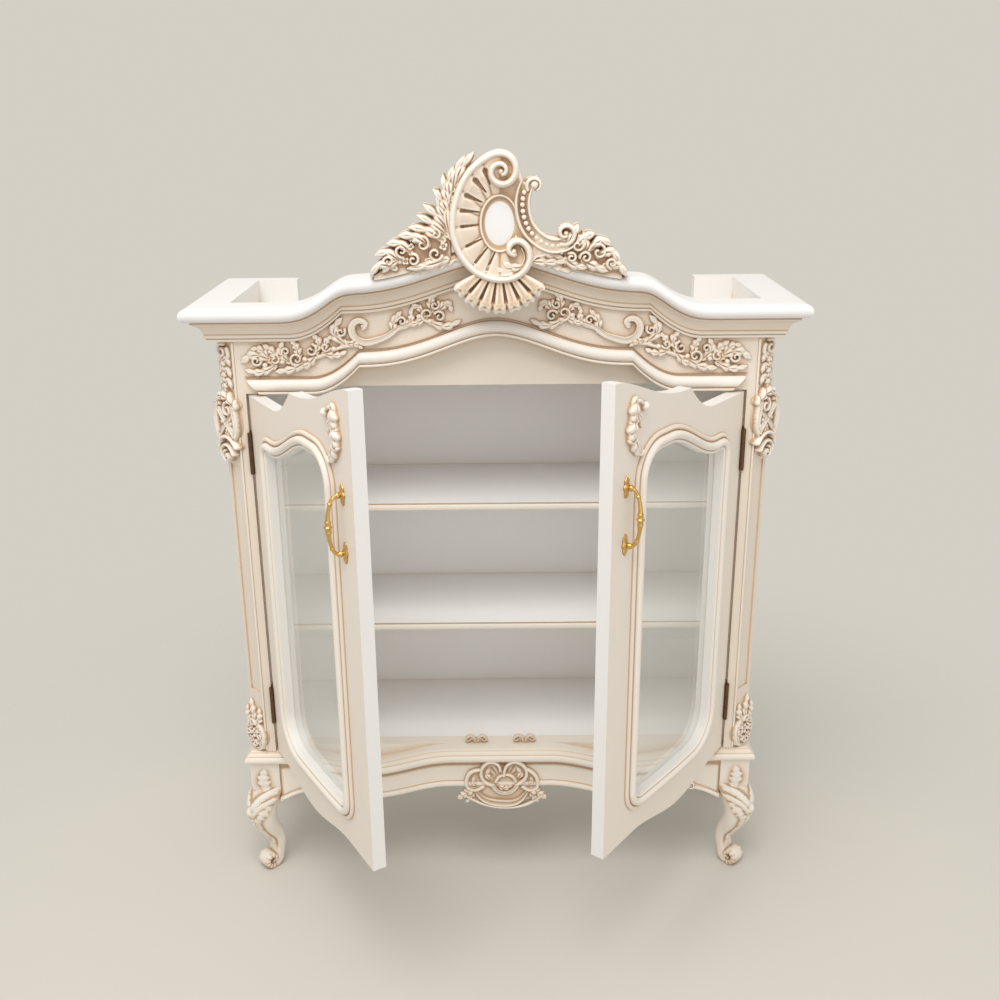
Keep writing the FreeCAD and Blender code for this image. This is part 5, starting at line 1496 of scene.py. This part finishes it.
def build_handles():
    """Cast bow handles: a rod along a bowed line, and a leaf plate at each end.

    The rod's radius is a plain one plus bells along the line, a broad one in the middle and a narrow
    one per ring.
    """
    sizes = settings("cabinet_sizes")
    s, z, half = 405.5, 904.0, mm(sizes.handle_length) / 2
    far = FACE - mm(sizes.handle_reach)
    plate = FACE - 3.0
    line = [(s, plate, z - half), (s, plate - 11, z - half * 0.97), (s, far + 3, z - half * 0.62),
            (s, far, z), (s, far + 3, z + half * 0.62), (s, plate - 11, z + half * 0.97),
            (s, plate, z + half)]
    path = curve(line, 0.8)
    t = np.linspace(0, 1, len(path))
    bells = [(0.5, 0.13, 1.9), (0.5, 0.014, 2.2), (0.43, 0.010, 1.2), (0.57, 0.010, 1.2), (0.2, 0.012, 1.4),
             (0.8, 0.012, 1.4), (0.05, 0.03, 2.4), (0.95, 0.03, 2.4)]
    place, wide, rise = np.array(bells).T[:, :, None]
    radius = mm(sizes.handle_rod) + (rise * np.exp(-((t - place) / wide) ** 2)).sum(0)
    points, quads = tube(path, radius, 20)
    for word, sign in SIDES.items():
        body = f"{word}_door"
        settle(skin(f"{word}_bow", on_door(points, sign), quads, 0.0, 60), body, "brass", f"{word}_handle")
        for end, way in (("upper", 1), ("lower", -1)):
            middle = z + way * half
            carve = Relief((s - 16, middle - 26), (s + 16, middle + 26), 0.5)
            carve.leaf([(s, middle + way * up) for up in (-12, 4, 18)], 9.5, 4.5, 2, 0.25)
            carve.leaf([(s, middle + way * up) for up in (-4, -10, -15)], 6.5, 3.5, 2, 0.2)
            carve.bead((s, middle), 8.0, 6.0)
            settle(carve.piece(f"{word}_{end}_leaf_plate", on_leaf(sign), -0.2), body, "brass")


# Stage
def lay_floor(stage):
    """Pale floor that meets the backdrop unseen.

    Its alpha falls with an ease of the distance from the middle.
    """
    size = 5.0
    mesh = bpy.data.meshes.new("floor")
    mesh.from_pydata([(-size, -size, 0), (size, -size, 0), (size, size, 0), (-size, size, 0)], [],
                     [(0, 1, 2, 3)])
    floor = bpy.data.objects.new("studio_floor", mesh)
    bpy.context.scene.collection.objects.link(floor)
    s = new_shader("studio floor")
    place = s.place()
    speck = s.noise(place, 3.0, 2.0)
    tone = s.mix(speck * 0.25, rgba(stage.floor), rgba(tuple(c * 0.985 for c in stage.floor)))
    far = s.add("ShaderNodeVectorMath", {"operation": "LENGTH"}, {0: place}).out("Value")
    kept = ((stage.floor_end - far) / (stage.floor_end - stage.floor_start)).clip()
    kept = kept * kept * (3.0 - 2.0 * kept)
    floor.data.materials.append(s.surface(s.add("ShaderNodeBsdfPrincipled", {}, {
        "Base Color": tone, "Roughness": 0.9, "Specular IOR Level": 0.1, "Alpha": kept})))


def hang_backdrop(stage):
    """Even light from all round, with the backdrop's own colour for the rays that see it.

    Those come straight from the camera, off a mirror or through glass.
    """
    world = bpy.data.worlds.new("studio")
    bpy.context.scene.world = world
    w = Shader(world)
    rays = w.add("ShaderNodeLightPath", {}, {})
    seen = (rays.out("Is Camera Ray") + rays.out("Is Glossy Ray") + rays.out("Is Transmission Ray")).clip()
    light = w.add("ShaderNodeBackground", {}, {"Color": rgba(stage.fill_colour), "Strength": stage.fill})
    back = w.add("ShaderNodeBackground", {}, {"Color": rgba(stage.backdrop), "Strength": 1.0})
    sky = w.add("ShaderNodeMixShader", {}, {0: seen, 1: light, 2: back})
    w.add("ShaderNodeOutputWorld", {}, {"Surface": sky})


def hang_lamps(stage):
    """Three broad square lamps, each turned to look from its place to its aim."""
    aim = (0.0, 0.1, 0.9)
    lamps = (("key", (-0.6, -1.7, 4.0), aim, 2.4, stage.key), ("top", (0.3, -0.2, 3.6), aim, 2.6, stage.top),
             ("fill", (1.2, -3.1, 1.4), (0.0, 0.0, 0.9), 2.2, stage.side))
    for name, where, towards, wide, power in lamps:
        data = bpy.data.lights.new(name, "AREA")
        data.energy = power
        data.size = wide
        data.color = (1.0, 0.985, 0.965)
        lamp = bpy.data.objects.new(f"{name}_lamp", data)
        lamp.location = where
        way = np.subtract(towards, where)
        tilt = math.atan2(math.hypot(way[0], way[1]), -way[2])
        lamp.rotation_euler = (tilt, 0, math.atan2(-way[0], way[1]))
        bpy.context.scene.collection.objects.link(lamp)


def set_camera(stage):
    """Camera in front of the posts.

    It is tipped down from level by its pitch, after a roll about its own line of sight.
    """
    data = bpy.data.cameras.new("camera")
    data.sensor_fit = "HORIZONTAL"
    data.angle = stage.view_angle
    data.clip_end = 100
    camera = bpy.data.objects.new("camera", data)
    camera.location = (stage.camera_x, FRONT_Y * MM - stage.camera_distance, stage.camera_height)
    tip = Matrix.Rotation(math.pi / 2 - stage.camera_pitch, 3, "X")
    camera.rotation_euler = (tip @ Matrix.Rotation(stage.camera_roll, 3, "Z")).to_euler()
    bpy.context.scene.collection.objects.link(camera)
    bpy.context.scene.camera = camera


def build_stage():
    """Floor, backdrop, lamps and camera, seen without a filmic curve."""
    stage = settings("cabinet_stage")
    bpy.context.scene.view_settings.view_transform = "Standard"
    lay_floor(stage)
    hang_backdrop(stage)
    hang_lamps(stage)
    set_camera(stage)


# Settings
def as_colour(name, description, default):
    """Colour setting."""
    return bpy.props.FloatVectorProperty(
        name=name, description=description, subtype="COLOR", size=3, min=0, max=1, default=default)


def as_length(name, description, millimetres):
    """Length setting, kept in metres."""
    return bpy.props.FloatProperty(
        name=name, description=description, subtype="DISTANCE", unit="LENGTH", default=millimetres * MM)


def as_angle(name, description, degrees):
    """Angle setting, kept in radians."""
    return bpy.props.FloatProperty(
        name=name, description=description, subtype="ANGLE", unit="ROTATION", default=math.radians(degrees))


def as_power(name, description, watts):
    """Lamp power setting."""
    return bpy.props.FloatProperty(name=name, description=description, unit="POWER", min=0, default=watts)


def as_share(name, description, default):
    """Strength setting, from 0 to 1."""
    return bpy.props.FloatProperty(
        name=name, description=description, subtype="FACTOR", min=0, max=1, default=default)


class CabinetSizes(bpy.types.PropertyGroup):
    """Sizes of pieces that can change without touching their neighbours."""
    cabochon_wide: as_length("Cabochon width", "Half the width of the crest's cabochon", 31.0)
    cabochon_tall: as_length("Cabochon height", "Half the height of the crest's cabochon", 45.0)
    cabochon_rise: as_length("Cabochon rise", "How far the cabochon's dome stands out", 4.5)
    fan_reach: as_length("Fan reach", "From the hub of the hanging fan to its lobes' ends", 90.0)
    shelf_lip: as_length("Shelf lip", "How far the lipping stands out before a shelf", 2.2)
    handle_length: as_length("Handle length", "Between the fixings of a bow handle", 96.0)
    handle_reach: as_length("Handle reach", "How far a bow handle stands off the door", 27.0)
    handle_rod: as_length("Handle rod", "Radius of a bow handle's plain rod", 3.0)


class CabinetFinish(bpy.types.PropertyGroup):
    """Colours of the paint, glaze and painted shade, glass and metal."""
    ivory: as_colour("Ivory", "Ground colour of the painted woodwork", (0.84, 0.775, 0.69))
    white: as_colour("White", "Paint of the shelves and the inside", (0.92, 0.91, 0.895))
    # The tan paints both the glaze in hollows and the shade in seams and recesses
    glaze_and_shade: as_colour("Glaze", "Tan glaze left in hollows", (0.62, 0.43, 0.26))
    # The dark brown is deep glaze and painted shade in the deepest hollows
    deep_glaze_and_shade: as_colour("Deep glaze", "Glaze in the deepest cuts", (0.33, 0.175, 0.08))
    rubbed: as_colour("Rubbed", "Paint on rubbed high places", (0.80, 0.795, 0.785))
    glass: as_colour("Glass", "Tint of the panes", (0.985, 0.99, 0.985))
    brass: as_colour("Brass", "Polished brass of the handles", (0.70, 0.45, 0.16))
    brass_hollows: as_colour("Brass hollows", "Brass where it lies deep", (0.22, 0.11, 0.03))
    bronze: as_colour("Bronze", "Dark bronze of the hinges", (0.16, 0.095, 0.055))
    bronze_hollows: as_colour("Bronze hollows", "Bronze where it lies deep", (0.05, 0.028, 0.018))
    # One strength for the tan glaze and the painted shade together
    glaze_and_shade_amount: as_share("Glaze amount", "Strength of the glaze in hollows and seams", 0.85)


class CabinetStage(bpy.types.PropertyGroup):
    """Floor, light and camera."""
    floor: as_colour("Floor", "Studio floor", (0.64, 0.615, 0.56))
    backdrop: as_colour("Backdrop", "What is seen past the floor", (0.655, 0.628, 0.565))
    floor_start: as_length("Floor start", "Distance from the middle where the floor begins to fade", 700.0)
    floor_end: as_length("Floor end", "Distance from the middle where the floor has faded away", 2000.0)
    fill_colour: as_colour("Fill colour", "Colour of the light from all round", (1.0, 0.985, 0.96))
    fill: as_share("Fill", "Strength of the light from all round", 0.68)
    key: as_power("Key", "Power of the key lamp", 90.0)
    top: as_power("Top", "Power of the overhead lamp", 4.0)
    side: as_power("Side", "Power of the lamp in front, to the right", 15.0)
    view_angle: as_angle("View angle", "Camera's field of view", 47.37)
    camera_x: as_length("Camera X", "Camera's place across", 4.8)
    camera_distance: as_length("Camera distance", "From the posts' front plane to the camera", 1987.7)
    camera_height: as_length("Camera height", "Camera's height above the floor", 1523.2)
    camera_pitch: as_angle("Camera pitch", "Downward tilt of the camera", 19.558)
    camera_roll: as_angle("Camera roll", "Tilt of the picture", -0.481)


# Operators and panel
class CABINET_OT_finishes(bpy.types.Operator):
    """Mix the finishes and dress the frame's own parts"""
    bl_idname = "cabinet.finishes"
    bl_label = "Finishes"

    def execute(self, context):
        mix_finishes()
        dress_frame()
        return {"FINISHED"}


class CABINET_OT_cornice(bpy.types.Operator):
    """Run the cornice along the front and sides"""
    bl_idname = "cabinet.cornice"
    bl_label = "Cornice"

    def execute(self, context):
        build_cornice()
        return {"FINISHED"}


class CABINET_OT_arch(bpy.types.Operator):
    """Run the moulding under the frieze"""
    bl_idname = "cabinet.arch"
    bl_label = "Arch moulding"

    def execute(self, context):
        build_arch_moulding()
        return {"FINISHED"}


class CABINET_OT_base(bpy.types.Operator):
    """Run the base moulding, and the apron with its lip"""
    bl_idname = "cabinet.base"
    bl_label = "Base"

    def execute(self, context):
        build_base()
        return {"FINISHED"}


class CABINET_OT_legs(bpy.types.Operator):
    """Carve the four cabriole legs"""
    bl_idname = "cabinet.legs"
    bl_label = "Legs"

    def execute(self, context):
        build_legs()
        return {"FINISHED"}


class CABINET_OT_crest(bpy.types.Operator):
    """Carve the crest"""
    bl_idname = "cabinet.crest"
    bl_label = "Crest"

    def execute(self, context):
        build_crest()
        return {"FINISHED"}


class CABINET_OT_swags(bpy.types.Operator):
    """Carve the frieze swags"""
    bl_idname = "cabinet.swags"
    bl_label = "Swags"

    def execute(self, context):
        build_swags()
        return {"FINISHED"}


class CABINET_OT_posts(bpy.types.Operator):
    """Carve the drops on the posts"""
    bl_idname = "cabinet.posts"
    bl_label = "Posts"

    def execute(self, context):
        build_posts()
        return {"FINISHED"}


class CABINET_OT_apron(bpy.types.Operator):
    """Carve the apron's shell and scrolls"""
    bl_idname = "cabinet.apron"
    bl_label = "Apron"

    def execute(self, context):
        build_apron_shell()
        return {"FINISHED"}


class CABINET_OT_doors(bpy.types.Operator):
    """Run the bolections and carve the tulip drops"""
    bl_idname = "cabinet.doors"
    bl_label = "Doors"

    def execute(self, context):
        build_doors()
        return {"FINISHED"}


class CABINET_OT_handles(bpy.types.Operator):
    """Cast the bow handles"""
    bl_idname = "cabinet.handles"
    bl_label = "Handles"

    def execute(self, context):
        build_handles()
        return {"FINISHED"}


class CABINET_OT_shelves(bpy.types.Operator):
    """Lip the front edges of the shelves"""
    bl_idname = "cabinet.shelves"
    bl_label = "Shelf edges"

    def execute(self, context):
        build_shelf_edges()
        return {"FINISHED"}


class CABINET_OT_stage(bpy.types.Operator):
    """Lay the floor, hang the lamps and set the camera"""
    bl_idname = "cabinet.stage"
    bl_label = "Stage"

    def execute(self, context):
        build_stage()
        return {"FINISHED"}


OPERATORS = [
    CABINET_OT_finishes, CABINET_OT_cornice, CABINET_OT_arch, CABINET_OT_base, CABINET_OT_legs,
    CABINET_OT_crest, CABINET_OT_swags, CABINET_OT_posts, CABINET_OT_apron, CABINET_OT_doors,
    CABINET_OT_handles, CABINET_OT_shelves, CABINET_OT_stage,
]


class CABINET_PT_panel(bpy.types.Panel):
    """Sidebar list of the cabinet's pieces"""
    bl_idname = "CABINET_PT_panel"
    bl_label = "Cabinet"
    bl_space_type = "VIEW_3D"
    bl_region_type = "UI"
    bl_category = "Cabinet"

    def draw(self, context):
        for made in OPERATORS:
            self.layout.operator(made.bl_idname)


GROUPS = {"cabinet_sizes": CabinetSizes, "cabinet_finish": CabinetFinish, "cabinet_stage": CabinetStage}
CLASSES = [*GROUPS.values(), *OPERATORS, CABINET_PT_panel]


def register():
    """Register the classes and hang the groups of settings on the scene."""
    for made in CLASSES:
        bpy.utils.register_class(made)
    for name, group in GROUPS.items():
        setattr(bpy.types.Scene, name, bpy.props.PointerProperty(type=group))


def unregister():
    """Undo register, in the opposite order."""
    for name in reversed(GROUPS):
        delattr(bpy.types.Scene, name)
    for made in reversed(CLASSES):
        bpy.utils.unregister_class(made)


def main():
    """Build every piece in order."""
    register()
    bpy.ops.cabinet.finishes()
    bpy.ops.cabinet.cornice()
    bpy.ops.cabinet.arch()
    bpy.ops.cabinet.base()
    bpy.ops.cabinet.legs()
    bpy.ops.cabinet.crest()
    bpy.ops.cabinet.swags()
    bpy.ops.cabinet.posts()
    bpy.ops.cabinet.apron()
    bpy.ops.cabinet.doors()
    bpy.ops.cabinet.handles()
    bpy.ops.cabinet.shelves()
    bpy.ops.cabinet.stage()


if __name__ == "__main__":
    main()
